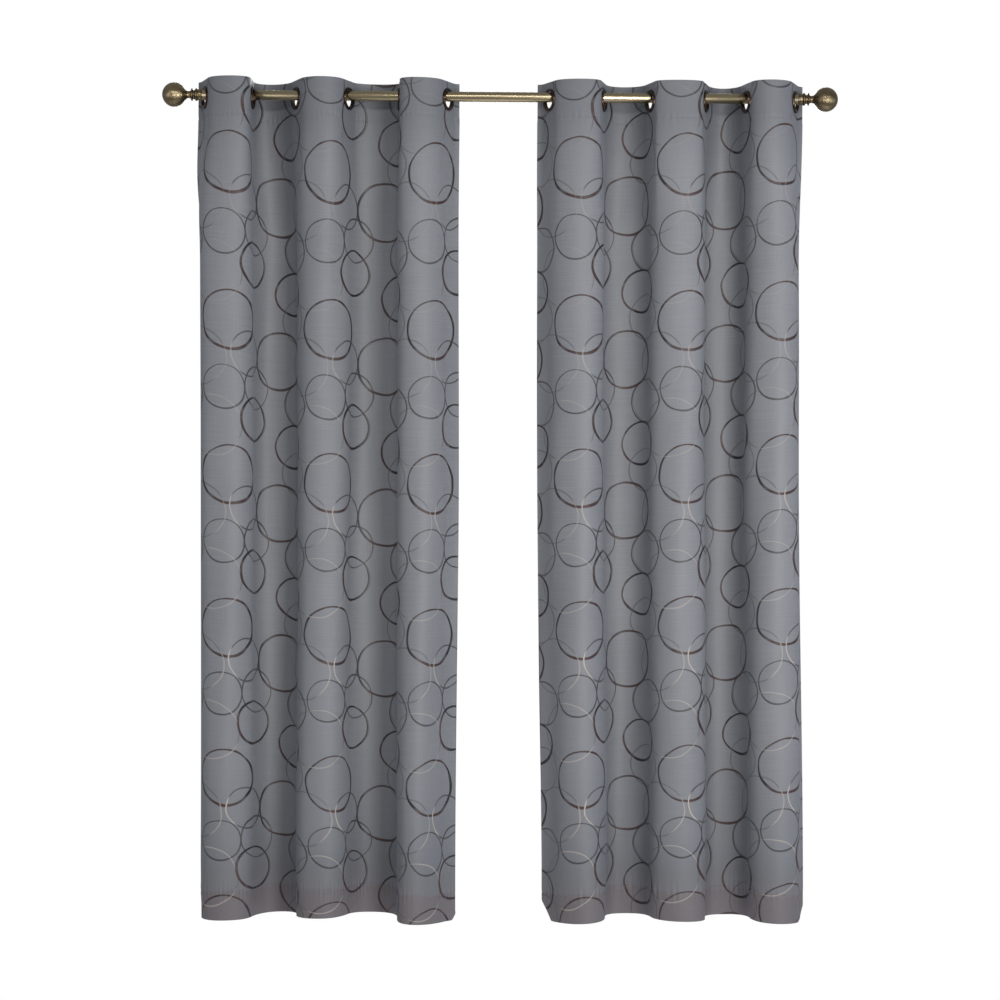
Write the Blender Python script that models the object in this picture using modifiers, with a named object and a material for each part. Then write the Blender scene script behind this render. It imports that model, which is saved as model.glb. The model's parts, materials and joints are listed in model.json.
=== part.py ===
"""A pair of grommet-top curtain panels hung on an antique brass rod.

Metres, +Z up. The origin is on the rod's axis at the middle of its span. +X runs along the
rod to the right, and a viewer in the room stands on the -Y side. Panels and grommets are
numbered from the finial end towards the middle of the window, so grommet 1 is the
outermost one and grommet 6 is on the leading edge.
"""

import math

import bmesh
import bpy
from mathutils import Matrix, Vector
from mathutils.geometry import interpolate_bezier

LEFT = -1
RIGHT = 1
SIDE_NAMES = {LEFT: "left", RIGHT: "right"}

# Cloth, as cut and hung
PANEL_LENGTH = 2.134
PANEL_WIDTH = 1.067
EDGE_MARGIN = 0.050
GROMMET_COUNT = 6
GROMMET_PITCH = (PANEL_WIDTH - 2 * EDGE_MARGIN) / (GROMMET_COUNT - 1)
CLOTH_TOP = 0.038
CLOTH_BOTTOM = CLOTH_TOP - PANEL_LENGTH
HEADING_DEPTH = 0.095
CLOTH_THICKNESS = 0.0012
BAND_THICKNESS = 0.0009
FOLD_STEPS = 9
FLAP_STEPS = 2
GAP = 0.0003

# How the panels hang: each grommet's distance from the middle of the rod, and the angle
# in degrees between the cloth at that grommet and the rod, from grommet 1 to grommet 6
GROMMET_REACH = {
    LEFT: (0.7505, 0.6314, 0.5194, 0.3870, 0.2571, 0.1349),
    RIGHT: (0.7505, 0.6263, 0.5219, 0.3819, 0.2622, 0.1248),
}
GROMMET_TURN = {
    LEFT: (69, 86, 65, 66, 87, 63),
    RIGHT: (68, 74, 73, 71, 75, 63),
}
OUTER_FLAP_TURN = math.radians(55)
LEADING_FLAP_TURN = math.radians(8)

# Grommets, about their own axis, with height 0 at the middle of the cloth
GROMMET_DROP = 0.0072
GROMMET_RADIUS = 0.030
HOLE_RADIUS = 0.0205
BARREL_RADIUS = 0.0214
RIM_HEIGHT = 0.0026
RIM_WALL = 0.0009
BACK_RING_THICKNESS = 0.0015
GROMMET_STEPS = 16
CHORD = GROMMET_RADIUS + 0.001

# Rod and finials, as radii and as distances from the middle of the rod
ROD_RADIUS = 0.0127
ROD_WALL = 0.0010
ROD_END = 0.7720
PLUG_START = 0.7450
PLUG_END = 0.7715
COLLAR_START = 0.7595
COLLAR_RADIUS = 0.0140
COLLAR_END = 0.7800
COLLAR_BEAD = 0.7727
BEAD_RADIUS = 0.0163
BEAD_REACH = 0.0022
THROAT_RADIUS = 0.0115
NECK_RIDGE = 0.7835
RIDGE_RADIUS = 0.0168
RIDGE_REACH = 0.0011
NECK_END = 0.7922
NECK_RADIUS = 0.0100
BALL_CENTRE = 0.8285
BALL_RADIUS = 0.0310
BALL_WALL = 0.0015
BALL_WEB = 0.0030
BALL_TAPER = math.radians(52)
STUD_RADIUS = 0.0030
STUD_START = 0.7480
STUD_END = 0.8000
TURNED_STEPS = 24
BALL_STEPS = 12

MERGE = 0.0001
CUTTER_LENGTH = 0.02


def clear_scene():
    """Remove every object that the file opened with."""
    for obj in list(bpy.data.objects):
        bpy.data.objects.remove(obj, do_unlink=True)


def new_collection(name):
    """Make a collection and show it in the scene."""
    collection = bpy.data.collections.new(name)
    bpy.context.scene.collection.children.link(collection)
    return collection


def new_material(name, colour, roughness, metallic):
    """Make a Principled material of one colour."""
    material = bpy.data.materials.new(name)
    material.use_nodes = True
    shader = material.node_tree.nodes["Principled BSDF"]
    shader.inputs["Base Color"].default_value = (*colour, 1.0)
    shader.inputs["Roughness"].default_value = roughness
    shader.inputs["Metallic"].default_value = metallic
    return material


def add_object(name, mesh, collection, material=None, parent=None):
    """Put a mesh in the scene as a named object."""
    obj = bpy.data.objects.new(name, mesh)
    if material:
        mesh.materials.append(material)
    obj.parent = parent
    collection.objects.link(obj)
    return obj


def arc(centre, radius, start, end, steps):
    """Points (radius, height) along an arc about (0, centre), by angle from +Z."""
    angles = (start + (end - start) * i / steps for i in range(steps + 1))
    return [(radius * math.sin(a), centre + radius * math.cos(a)) for a in angles]


def turned(name, outline, steps, collection, material, parent=None):
    """Turn an outline of (radius, height) points about Z with a Screw modifier.

    The outline starts at the top, runs down the outer side and comes back up the inner
    side. One that starts and ends off the axis is closed into a ring.
    """
    mesh = bpy.data.meshes.new(name)
    count = len(outline)
    edges = [(i, i + 1) for i in range(count - 1)]
    if outline[0][0] > 0:
        edges.append((count - 1, 0))
    mesh.from_pydata([(r, 0.0, z) for r, z in outline], edges, [])
    obj = add_object(name, mesh, collection, material, parent)
    screw = obj.modifiers.new("Turn", "SCREW")
    screw.axis = "Z"
    screw.steps = steps
    screw.render_steps = steps
    screw.use_merge_vertices = True
    screw.merge_threshold = MERGE
    screw.use_smooth_shade = True
    return obj


def grommet_parent(side, number, collection):
    """An empty at a grommet's centre, with +Z out of the front of the cloth."""
    reach = GROMMET_REACH[side][number - 1]
    empty = bpy.data.objects.new(f"{SIDE_NAMES[side]}_grommet_{number}_axis", None)
    empty.location = (side * reach, 0.0, -GROMMET_DROP)
    normal = front_normal(grommet_direction(side, number))
    empty.rotation_euler = normal.to_3d().to_track_quat("Z", "Y").to_euler()
    empty.empty_display_size = GROMMET_RADIUS
    collection.objects.link(empty)
    return empty


def grommet_front(name, parent, collection, material):
    """The front half: a pressed dome rim with the barrel that goes through the cloth."""
    base = CLOTH_THICKNESS / 2 + GAP
    crest = base + RIM_HEIGHT
    barrel_end = -band_back() - GAP - BACK_RING_THICKNESS
    middle = (HOLE_RADIUS + GROMMET_RADIUS) / 2
    outline = [
        (middle, crest),
        (GROMMET_RADIUS - 0.0016, crest - 0.0007),
        (GROMMET_RADIUS, base),
        (GROMMET_RADIUS - RIM_WALL, base),
        (GROMMET_RADIUS - 0.0016 - RIM_WALL / 2, crest - 0.0007 - RIM_WALL),
        (middle, crest - RIM_WALL),
        (BARREL_RADIUS, crest - 0.0004 - RIM_WALL),
        (BARREL_RADIUS, barrel_end),
        (HOLE_RADIUS, barrel_end),
        (HOLE_RADIUS, base + RIM_HEIGHT / 2),
        (HOLE_RADIUS + 0.0012, crest - 0.0004),
    ]
    return turned(name, outline, GROMMET_STEPS, collection, material, parent)


def grommet_back(name, parent, collection, material):
    """The back half: a flat ring that snaps onto the barrel behind the cloth."""
    top = -band_back() - GAP
    base = top - BACK_RING_THICKNESS
    inner = BARREL_RADIUS + GAP
    outline = [
        (GROMMET_RADIUS, top),
        (GROMMET_RADIUS - 0.0006, base),
        (inner, base),
        (inner, top),
    ]
    return turned(name, outline, GROMMET_STEPS, collection, material, parent)


def band_front():
    """How far the heading band's front face lies behind the middle of the cloth."""
    return CLOTH_THICKNESS / 2 + GAP


def band_back():
    """How far the heading band's back face lies behind the middle of the cloth."""
    return band_front() + BAND_THICKNESS


def front_normal(direction):
    """The way the cloth's face points, where the cloth runs in this direction."""
    return Vector((direction.y, -direction.x))


def grommet_direction(side, number):
    """The direction of the cloth through a grommet, followed from left to right."""
    turn = math.radians(GROMMET_TURN[side][number - 1])
    to_front = number % 2 == (1 if side == LEFT else 0)
    return Vector((math.cos(turn), -math.sin(turn) if to_front else math.sin(turn)))


def grommets_in_order(side):
    """A panel's grommets from left to right, as (number, centre, direction)."""
    numbers = range(1, GROMMET_COUNT + 1)
    order = numbers if side == LEFT else reversed(numbers)
    return [
        (n, Vector((side * GROMMET_REACH[side][n - 1], 0.0)), grommet_direction(side, n))
        for n in order
    ]


def path_length(points):
    """The length of a run of points."""
    return sum((b - a).length for a, b in zip(points, points[1:]))


def bezier(start, start_pull, end_pull, end, steps):
    """Points along a Bezier curve in plan."""
    knots = [p.to_3d() for p in (start, start_pull, end_pull, end)]
    return [p.to_2d() for p in interpolate_bezier(*knots, steps + 1)]


def fold(start, start_direction, end, end_direction):
    """One fold of cloth between two grommets, whose cloth is one pitch long.

    The cloth is flat under each grommet. Between the flats it bends on a Bezier curve,
    and the length of its handles is found by halving an interval.
    """
    near = start + CHORD * start_direction
    far = end - CHORD * end_direction
    shortest, longest = 0.0, GROMMET_PITCH
    for _ in range(40):
        pull = (shortest + longest) / 2
        bend = bezier(
            near, near + pull * start_direction, far - pull * end_direction, far, FOLD_STEPS
        )
        if path_length([start, *bend, end]) < GROMMET_PITCH:
            shortest = pull
        else:
            longest = pull
    return [start, *bend, end]


def flap(centre, direction, outward, end_turn):
    """The cloth from an end grommet's centre to the panel's edge, in that order.

    The edge always lies behind the rod, so the flap turns towards end_turn on the +Y side.
    """
    out = direction * (1 if outward * direction.x > 0 else -1)
    start = centre + CHORD * out
    run = EDGE_MARGIN - CHORD
    last = Vector((outward * math.cos(end_turn), math.sin(end_turn)))
    end = start + run * (out + last).normalized()
    return [centre, *bezier(start, start + run / 3 * out, end - run / 3 * last, end, FLAP_STEPS)]


def panel_strips(side):
    """The plan of each strip of cloth, from left to right, keyed by strip number.

    Strip n lies between grommets n and n + 1. The first and last strips also take in
    the flap beyond their end grommet.
    """
    grommets = grommets_in_order(side)
    strips = {}
    for (n, a, a_dir), (m, b, b_dir) in zip(grommets, grommets[1:]):
        strips[min(n, m)] = fold(a, a_dir, b, b_dir)
    turns = {1: OUTER_FLAP_TURN, GROMMET_COUNT: LEADING_FLAP_TURN}
    first, last = grommets[0], grommets[-1]
    left_flap = flap(first[1], first[2], LEFT, turns[first[0]])
    right_flap = flap(last[1], last[2], RIGHT, turns[last[0]])
    left_strip = min(first[0], GROMMET_COUNT - 1)
    right_strip = min(last[0], GROMMET_COUNT - 1)
    strips[left_strip] = left_flap[:0:-1] + strips[left_strip]
    strips[right_strip] = strips[right_strip] + right_flap[1:]
    return strips


def trimmed(points):
    """A run of points shortened at both ends by half of the gap between neighbours."""
    first = points[0] + (points[1] - points[0]).normalized() * GAP / 2
    last = points[-1] + (points[-2] - points[-1]).normalized() * GAP / 2
    return [first, *points[1:-1], last]


def set_back(points, distance):
    """A run of points moved towards the back of the cloth."""
    moved = []
    for i, point in enumerate(points):
        before = (point - points[max(i - 1, 0)]).normalized()
        after = (points[min(i + 1, len(points) - 1)] - point).normalized()
        along = (before + after).normalized()
        mitre = distance / max(along.dot(after), along.dot(before))
        moved.append(point - mitre * front_normal(along))
    return moved


def ribbon(name, points, top, bottom, thickness, collection, material, parent):
    """A sheet of cloth on edge: a plan line drawn up and given its thickness."""
    bm = bmesh.new()
    feet = [bm.verts.new((p.x, p.y, bottom)) for p in points]
    edges = [bm.edges.new(pair) for pair in zip(feet, feet[1:])]
    raised = bmesh.ops.extrude_edge_only(bm, edges=edges)
    tops = [v for v in raised["geom"] if isinstance(v, bmesh.types.BMVert)]
    bmesh.ops.translate(bm, verts=tops, vec=(0.0, 0.0, top - bottom))
    mesh = bpy.data.meshes.new(name)
    bm.to_mesh(mesh)
    bm.free()
    obj = add_object(name, mesh, collection, material, parent)
    wall = obj.modifiers.new("Thickness", "SOLIDIFY")
    wall.thickness = thickness
    wall.offset = 0.0
    wall.use_even_offset = True
    return obj


def hole_cutter(side, number, axis, collection):
    """A cylinder that cuts a grommet's hole through the cloth and its heading."""
    bm = bmesh.new()
    radius = BARREL_RADIUS + GAP
    bmesh.ops.create_cone(
        bm,
        cap_ends=True,
        segments=GROMMET_STEPS,
        radius1=radius,
        radius2=radius,
        depth=CUTTER_LENGTH,
    )
    mesh = bpy.data.meshes.new(f"{SIDE_NAMES[side]}_hole_{number}")
    bm.to_mesh(mesh)
    bm.free()
    cutter = add_object(mesh.name, mesh, collection, parent=axis)
    cutter.hide_render = True
    cutter.display_type = "WIRE"
    return cutter


def cut(obj, cutters):
    """Cut holes in an object with Boolean modifiers."""
    for cutter in cutters:
        hole = obj.modifiers.new("Hole", "BOOLEAN")
        hole.operation = "DIFFERENCE"
        hole.solver = "EXACT"
        hole.object = cutter


def in_axis_frame(obj, axis):
    """Keep a piece where it was modelled while its grommet's empty carries it."""
    obj.parent = axis
    obj.matrix_parent_inverse = axis_matrix(axis).inverted()


def axis_matrix(axis):
    """Where an empty stands."""
    return Matrix.Translation(axis.location) @ axis.rotation_euler.to_matrix().to_4x4()


def finial_frame(side, collection):
    """An empty on the rod's axis with +Z pointing out of the rod's end."""
    empty = bpy.data.objects.new(f"{SIDE_NAMES[side]}_finial_axis", None)
    empty.rotation_euler = (0.0, side * math.pi / 2, 0.0)
    collection.objects.link(empty)
    return empty


def rod_tube(collection, material):
    """The rod: a steel tube that runs into both finial collars."""
    outline = [
        (ROD_RADIUS, ROD_END),
        (ROD_RADIUS, -ROD_END),
        (ROD_RADIUS - ROD_WALL, -ROD_END),
        (ROD_RADIUS - ROD_WALL, ROD_END),
    ]
    rod = turned("rod_tube", outline, TURNED_STEPS, collection, material)
    rod.rotation_euler = (0.0, math.pi / 2, 0.0)
    return rod


def end_plug(name, parent, collection, material):
    """The plug pressed into the rod's end, with the hole that the stud screws into."""
    radius = ROD_RADIUS - ROD_WALL - GAP
    hole = STUD_RADIUS + GAP
    outline = [
        (radius, PLUG_END),
        (radius, PLUG_START),
        (hole, PLUG_START),
        (hole, PLUG_END),
    ]
    return turned(name, outline, TURNED_STEPS, collection, material, parent)


def finial_collar(name, parent, collection, material):
    """The sleeve over the rod's end, with a groove and a raised bead."""
    sleeve = ROD_RADIUS + GAP
    hole = STUD_RADIUS + GAP
    web = ROD_END + GAP
    outline = [
        (THROAT_RADIUS, COLLAR_END),
        (THROAT_RADIUS, COLLAR_END - 0.0030),
        (BEAD_RADIUS - 0.0011, COLLAR_BEAD + BEAD_REACH),
        (BEAD_RADIUS, COLLAR_BEAD),
        (BEAD_RADIUS - 0.0011, COLLAR_BEAD - BEAD_REACH),
        (COLLAR_RADIUS - 0.0008, COLLAR_START + 0.0094),
        (COLLAR_RADIUS, COLLAR_START + 0.0080),
        (COLLAR_RADIUS, COLLAR_START + 0.0005),
        (COLLAR_RADIUS - 0.0005, COLLAR_START),
        (sleeve, COLLAR_START),
        (sleeve, web),
        (hole, web),
        (hole, COLLAR_END),
    ]
    return turned(name, outline, TURNED_STEPS, collection, material, parent)


def finial_neck(name, parent, collection, material):
    """The turned neck between collar and ball, with its sharp ridge."""
    hole = STUD_RADIUS + GAP
    base = COLLAR_END + GAP
    outline = [
        (NECK_RADIUS, NECK_END),
        (NECK_RADIUS + 0.0005, NECK_RIDGE + 0.0040),
        (RIDGE_RADIUS - 0.0010, NECK_RIDGE + RIDGE_REACH),
        (RIDGE_RADIUS, NECK_RIDGE),
        (RIDGE_RADIUS - 0.0010, NECK_RIDGE - RIDGE_REACH),
        (THROAT_RADIUS, base),
        (hole, base),
        (hole, NECK_END),
    ]
    return turned(name, outline, TURNED_STEPS, collection, material, parent)


def finial_ball(name, parent, collection, material):
    """The hollow ball, drawn in to the neck, with a web that the stud screws into."""
    base = NECK_END + GAP
    hole = STUD_RADIUS + GAP
    last = math.pi - BALL_TAPER
    outside = arc(BALL_CENTRE, BALL_RADIUS, 0.0, last, BALL_STEPS)
    inside = arc(BALL_CENTRE, BALL_RADIUS - BALL_WALL, last, 0.0, BALL_STEPS // 2)
    web = [
        (NECK_RADIUS, base),
        (hole, base),
        (hole, base + BALL_WEB),
        (NECK_RADIUS + BALL_WEB - BALL_WALL, base + BALL_WEB),
    ]
    outline = outside + web + inside
    outline[0] = (0.0, outside[0][1])
    outline[-1] = (0.0, inside[-1][1])
    return turned(name, outline, TURNED_STEPS, collection, material, parent)


def finial_stud(name, parent, collection, material):
    """The threaded stud that draws ball, neck and collar against the rod."""
    outline = [
        (0.0, STUD_END),
        (STUD_RADIUS, STUD_END),
        (STUD_RADIUS, STUD_START),
        (0.0, STUD_START),
    ]
    return turned(name, outline, TURNED_STEPS // 2, collection, material, parent)


def build_rod(collection, materials):
    """The rod with a plug and a finial at each end."""
    rod_tube(collection, materials["brass"])
    for side, name in SIDE_NAMES.items():
        frame = finial_frame(side, collection)
        end_plug(f"{name}_end_plug", frame, collection, materials["plug"])
        finial_collar(f"{name}_finial_collar", frame, collection, materials["brass"])
        finial_neck(f"{name}_finial_neck", frame, collection, materials["brass"])
        finial_ball(f"{name}_finial_ball", frame, collection, materials["brass"])
        finial_stud(f"{name}_finial_stud", frame, collection, materials["steel"])


def build_panel(side, collection, cutters, materials):
    """One panel: its grommets, its strips of cloth and the heading band behind them."""
    name = SIDE_NAMES[side]
    axes = {}
    holes = {}
    for number in range(1, GROMMET_COUNT + 1):
        axis = grommet_parent(side, number, collection)
        axes[number] = axis
        holes[number] = hole_cutter(side, number, axis, cutters)
        grommet_front(f"{name}_grommet_{number}_front", axis, collection, materials["bronze"])
        grommet_back(f"{name}_grommet_{number}_back", axis, collection, materials["bronze"])
    for number, plan in panel_strips(side).items():
        pair = (holes[number], holes[number + 1])
        line = trimmed(plan)
        middle = (band_front() + band_back()) / 2
        cloth = ribbon(
            f"{name}_panel_cloth_{number}",
            line,
            CLOTH_TOP,
            CLOTH_BOTTOM,
            CLOTH_THICKNESS,
            collection,
            materials["cloth"],
            None,
        )
        band = ribbon(
            f"{name}_heading_band_{number}",
            set_back(line, middle),
            CLOTH_TOP - GAP,
            CLOTH_TOP - HEADING_DEPTH,
            BAND_THICKNESS,
            collection,
            materials["band"],
            None,
        )
        for piece in (cloth, band):
            cut(piece, pair)
            in_axis_frame(piece, axes[number])


def main():
    """Build the whole object."""
    clear_scene()
    materials = {
        "cloth": new_material("cloth", (0.21, 0.22, 0.25), 0.55, 0.0),
        "band": new_material("band", (0.26, 0.27, 0.29), 0.80, 0.0),
        "bronze": new_material("bronze", (0.055, 0.038, 0.030), 0.35, 1.0),
        "brass": new_material("brass", (0.28, 0.22, 0.13), 0.30, 1.0),
        "plug": new_material("plug", (0.05, 0.05, 0.05), 0.60, 0.0),
        "steel": new_material("steel", (0.55, 0.55, 0.56), 0.30, 1.0),
    }
    collection = new_collection("curtain_pair_on_rod")
    cutters = new_collection("cutters")
    build_rod(collection, materials)
    for side in SIDE_NAMES:
        build_panel(side, collection, cutters, materials)


main()
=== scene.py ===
"""A pair of satin jacquard grommet curtains on an antique brass rod, dressed and lit.

Metres, +Z up. The rod's axis is the X axis, the middle of the window is the origin and a
viewer in the room stands on the -Y side. Each panel's cloth is one folded sheet: it runs up
the front, turns over the top edge into the heading band and turns up at the hem. It is
described on its flat pattern as (s, v), where s runs from the panel's left edge and v runs
down from its top edge.
"""

from __future__ import annotations

import json
import logging
import math
from dataclasses import dataclass, field
from enum import Enum

import bpy
import numpy as np
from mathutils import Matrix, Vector

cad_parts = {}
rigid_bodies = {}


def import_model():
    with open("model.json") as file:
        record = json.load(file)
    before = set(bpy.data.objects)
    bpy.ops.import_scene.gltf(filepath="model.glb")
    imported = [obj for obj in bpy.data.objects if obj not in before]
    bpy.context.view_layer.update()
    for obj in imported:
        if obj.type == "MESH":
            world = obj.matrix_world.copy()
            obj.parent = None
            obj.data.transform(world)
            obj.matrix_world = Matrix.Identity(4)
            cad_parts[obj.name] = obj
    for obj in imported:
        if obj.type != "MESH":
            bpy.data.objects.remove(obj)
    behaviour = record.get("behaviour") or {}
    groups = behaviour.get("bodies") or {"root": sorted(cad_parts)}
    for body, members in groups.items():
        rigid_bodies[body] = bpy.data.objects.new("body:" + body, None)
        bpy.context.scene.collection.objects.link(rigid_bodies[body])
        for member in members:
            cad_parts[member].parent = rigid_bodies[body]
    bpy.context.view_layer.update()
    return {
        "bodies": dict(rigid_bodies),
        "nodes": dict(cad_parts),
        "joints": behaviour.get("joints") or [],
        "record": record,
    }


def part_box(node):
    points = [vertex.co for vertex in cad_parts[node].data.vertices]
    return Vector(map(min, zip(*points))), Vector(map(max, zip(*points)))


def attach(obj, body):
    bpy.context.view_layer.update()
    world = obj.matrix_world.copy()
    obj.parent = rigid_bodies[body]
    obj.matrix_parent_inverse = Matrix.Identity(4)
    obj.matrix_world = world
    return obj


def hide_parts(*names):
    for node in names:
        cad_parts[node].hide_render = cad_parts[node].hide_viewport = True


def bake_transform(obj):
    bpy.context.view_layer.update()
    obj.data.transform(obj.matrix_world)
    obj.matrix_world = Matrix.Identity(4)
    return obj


LOG = logging.getLogger("curtains")
GROMMETS = 6
PANEL_WIDTH = 1.067
EDGE_MARGIN = 0.050
FLOOR_DROP = 0.42
Outline = list[tuple[float, float]]
PITCH = (PANEL_WIDTH - 2 * EDGE_MARGIN) / (GROMMETS - 1)


class Side(Enum):
    """The end of the rod at which a panel hangs."""

    LEFT = "left"
    RIGHT = "right"

    @property
    def sign(self) -> int:
        """-1 on the left and 1 on the right."""
        return -1 if self is Side.LEFT else 1

    @property
    def order(self) -> list[int]:
        """The grommets' numbers from left to right."""
        numbers = list(range(1, GROMMETS + 1))
        return numbers if self is Side.LEFT else numbers[::-1]


class Slot(Enum):
    """The record's material slots that show in the finished object."""

    CLOTH = "panel_cloth"
    BRONZE = "antique_bronze"
    BRASS = "antique_brass"


def smooth(value: np.ndarray, start: float, end: float) -> np.ndarray:
    """Rise smoothly from 0 at start to 1 at end.

    Args:
        value: The numbers to map.
        start: Where the rise begins.
        end: Where the rise is complete.

    Returns:
        Numbers from 0 to 1.
    """
    t = np.clip((value - start) / (end - start), 0.0, 1.0)
    return t * t * (3.0 - 2.0 * t)


def unit(vectors: np.ndarray) -> np.ndarray:
    """Scale each vector of the last axis to length 1."""
    length = np.linalg.norm(vectors, axis=-1, keepdims=True)
    return vectors / np.maximum(length, 1e-12)


# ---------------------------------------------------------------------------------------
# Shader and Geometry Nodes tools


class Value:
    """A number socket that takes part in Python arithmetic."""

    def __init__(self, graph: "Graph", socket: bpy.types.NodeSocket) -> None:
        """Wrap a socket.

        Args:
            graph: The tree that new Math nodes go into.
            socket: The output socket that holds the number.
        """
        self.graph = graph
        self.socket = socket

    def _math(self, operation: str, *terms: "Value | float") -> "Value":
        """Add a Math node on these terms and return its result.

        Args:
            operation: The Math node's operation.
            terms: Its inputs in order.

        Returns:
            The result.
        """
        inputs = dict(enumerate(terms))
        node = self.graph.add("ShaderNodeMath", {"operation": operation}, inputs)
        return Value(self.graph, node.outputs[0])

    def __add__(self, other: "Value | float") -> "Value":
        """Sum."""
        return self._math("ADD", self, other)

    def __radd__(self, other: float) -> "Value":
        """Sum, with the number first."""
        return self._math("ADD", other, self)

    def __sub__(self, other: "Value | float") -> "Value":
        """Difference."""
        return self._math("SUBTRACT", self, other)

    def __rsub__(self, other: float) -> "Value":
        """Difference, with the number first."""
        return self._math("SUBTRACT", other, self)

    def __mul__(self, other: "Value | float") -> "Value":
        """Product."""
        return self._math("MULTIPLY", self, other)

    def __rmul__(self, other: float) -> "Value":
        """Product, with the number first."""
        return self._math("MULTIPLY", other, self)

    def sine(self) -> "Value":
        """The sine of this many radians."""
        return self._math("SINE", self)

    def size(self) -> "Value":
        """The number without its sign."""
        return self._math("ABSOLUTE", self)

    def most(self, other: "Value | float") -> "Value":
        """The larger of the two."""
        return self._math("MAXIMUM", self, other)

    def ramp(self, start: float, end: float, low: float = 0.0, high: float = 1.0) -> "Value":
        """Map start..end smoothly to low..high.

        Args:
            start: The number that maps to low.
            end: The number that maps to high.
            low: The result at and before start.
            high: The result at and after end.

        Returns:
            The mapped number.
        """
        settings = {"interpolation_type": "SMOOTHSTEP"}
        inputs = {"Value": self, "From Min": start, "From Max": end, "To Min": low, "To Max": high}
        node = self.graph.add("ShaderNodeMapRange", settings, inputs)
        return Value(self.graph, node.outputs[0])


class Graph:
    """A node tree, with one method that adds any node."""

    def __init__(self, tree: bpy.types.NodeTree) -> None:
        """Start from an empty tree."""
        self.tree = tree
        tree.nodes.clear()

    def add(
        self, kind: str, settings: dict | None = None, inputs: dict | None = None
    ) -> bpy.types.Node:
        """Add one node.

        Args:
            kind: The node's type name.
            settings: Properties to set first.
            inputs: Values or links by socket name or number.

        Returns:
            The node.
        """
        node = self.tree.nodes.new(kind)
        for name, value in (settings or {}).items():
            setattr(node, name, value)
        for key, value in (inputs or {}).items():
            self.feed(node, key, value)
        return node

    def feed(self, node: bpy.types.Node, key: str | int, value: object) -> None:
        """Set or link one input of a node.

        Args:
            node: The node to feed.
            key: The input's name or number.
            value: A Value, an output socket or a constant.
        """
        socket = node.inputs[key]
        if isinstance(value, Value):
            self.tree.links.new(value.socket, socket)
        elif isinstance(value, bpy.types.NodeSocket):
            self.tree.links.new(value, socket)
        else:
            socket.default_value = value

    def number(self, node: bpy.types.Node, output: str | int = 0) -> Value:
        """One of a node's outputs as a Value."""
        return Value(self, node.outputs[output])

    def noise(self, place: bpy.types.NodeSocket, scale: float, detail: float = 2.0) -> Value:
        """Noise from 0 to 1 at a place.

        Args:
            place: The vector that the noise reads.
            scale: Its scale.
            detail: Its octaves.

        Returns:
            The noise.
        """
        inputs = {"Vector": place, "Scale": scale, "Detail": detail}
        return self.number(self.add("ShaderNodeTexNoise", None, inputs))

    def stretched(self, place: bpy.types.NodeSocket, scale: tuple) -> bpy.types.NodeSocket:
        """A place with each of its axes scaled."""
        node = self.add("ShaderNodeMapping", None, {"Vector": place, "Scale": scale})
        return node.outputs[0]

    def vector(self, operation: str, *terms: object) -> bpy.types.Node:
        """A Vector Math node on these terms."""
        return self.add("ShaderNodeVectorMath", {"operation": operation}, dict(enumerate(terms)))

    def bump(self, strength: float, distance: float, height: Value) -> bpy.types.NodeSocket:
        """The normal of a relief, from its strength, its depth in metres and its height."""
        relief = {"Strength": strength, "Distance": distance, "Height": height}
        return self.add("ShaderNodeBump", None, relief).outputs[0]

    def mix(self, factor: Value | float, first: object, second: object) -> bpy.types.NodeSocket:
        """Mix two colours.

        Args:
            factor: 0 gives the first colour and 1 the second.
            first: A colour or a colour socket.
            second: A colour or a colour socket.

        Returns:
            The mixed colour's socket.
        """
        colours = [c if isinstance(c, bpy.types.NodeSocket) else (*c, 1.0) for c in (first, second)]
        inputs = {0: factor, 6: colours[0], 7: colours[1]}
        return self.add("ShaderNodeMix", {"data_type": "RGBA"}, inputs).outputs[2]


def new_material(name: str) -> tuple[bpy.types.Material, Graph]:
    """Make a material with an empty tree.

    Args:
        name: The material's name.

    Returns:
        The material and its tree.
    """
    material = bpy.data.materials.new(name)
    material.use_nodes = True
    return material, Graph(material.node_tree)


def finish_material(graph: Graph, inputs: dict) -> None:
    """End a material's tree in a Principled shader.

    Args:
        graph: The material's tree.
        inputs: The shader's inputs by name.
    """
    shader = graph.add("ShaderNodeBsdfPrincipled", None, inputs)
    graph.add("ShaderNodeOutputMaterial", None, {"Surface": shader.outputs[0]})


# ---------------------------------------------------------------------------------------
# Finishes


class Thread(Enum):
    """The accent yarn that shows on part of a ring."""

    COPPER = "copper"
    CREAM = "cream"


@dataclass(frozen=True)
class Ring:
    """One woven ring of the repeat, x to the right and y down, from the first large ring."""

    x: float
    y: float
    radius: float
    width: float
    ink: float = 1.0
    swell: tuple[float, float] = (0.0, 0.0)
    accents: tuple[tuple[float, float, Thread], ...] = ()


UP = (0.0, -1.0, Thread.COPPER)
DOWN = (0.0, 1.0, Thread.COPPER)
SHEEN = ((0.45, 1.0, Thread.CREAM), (0.5, -1.0, Thread.CREAM))

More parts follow.
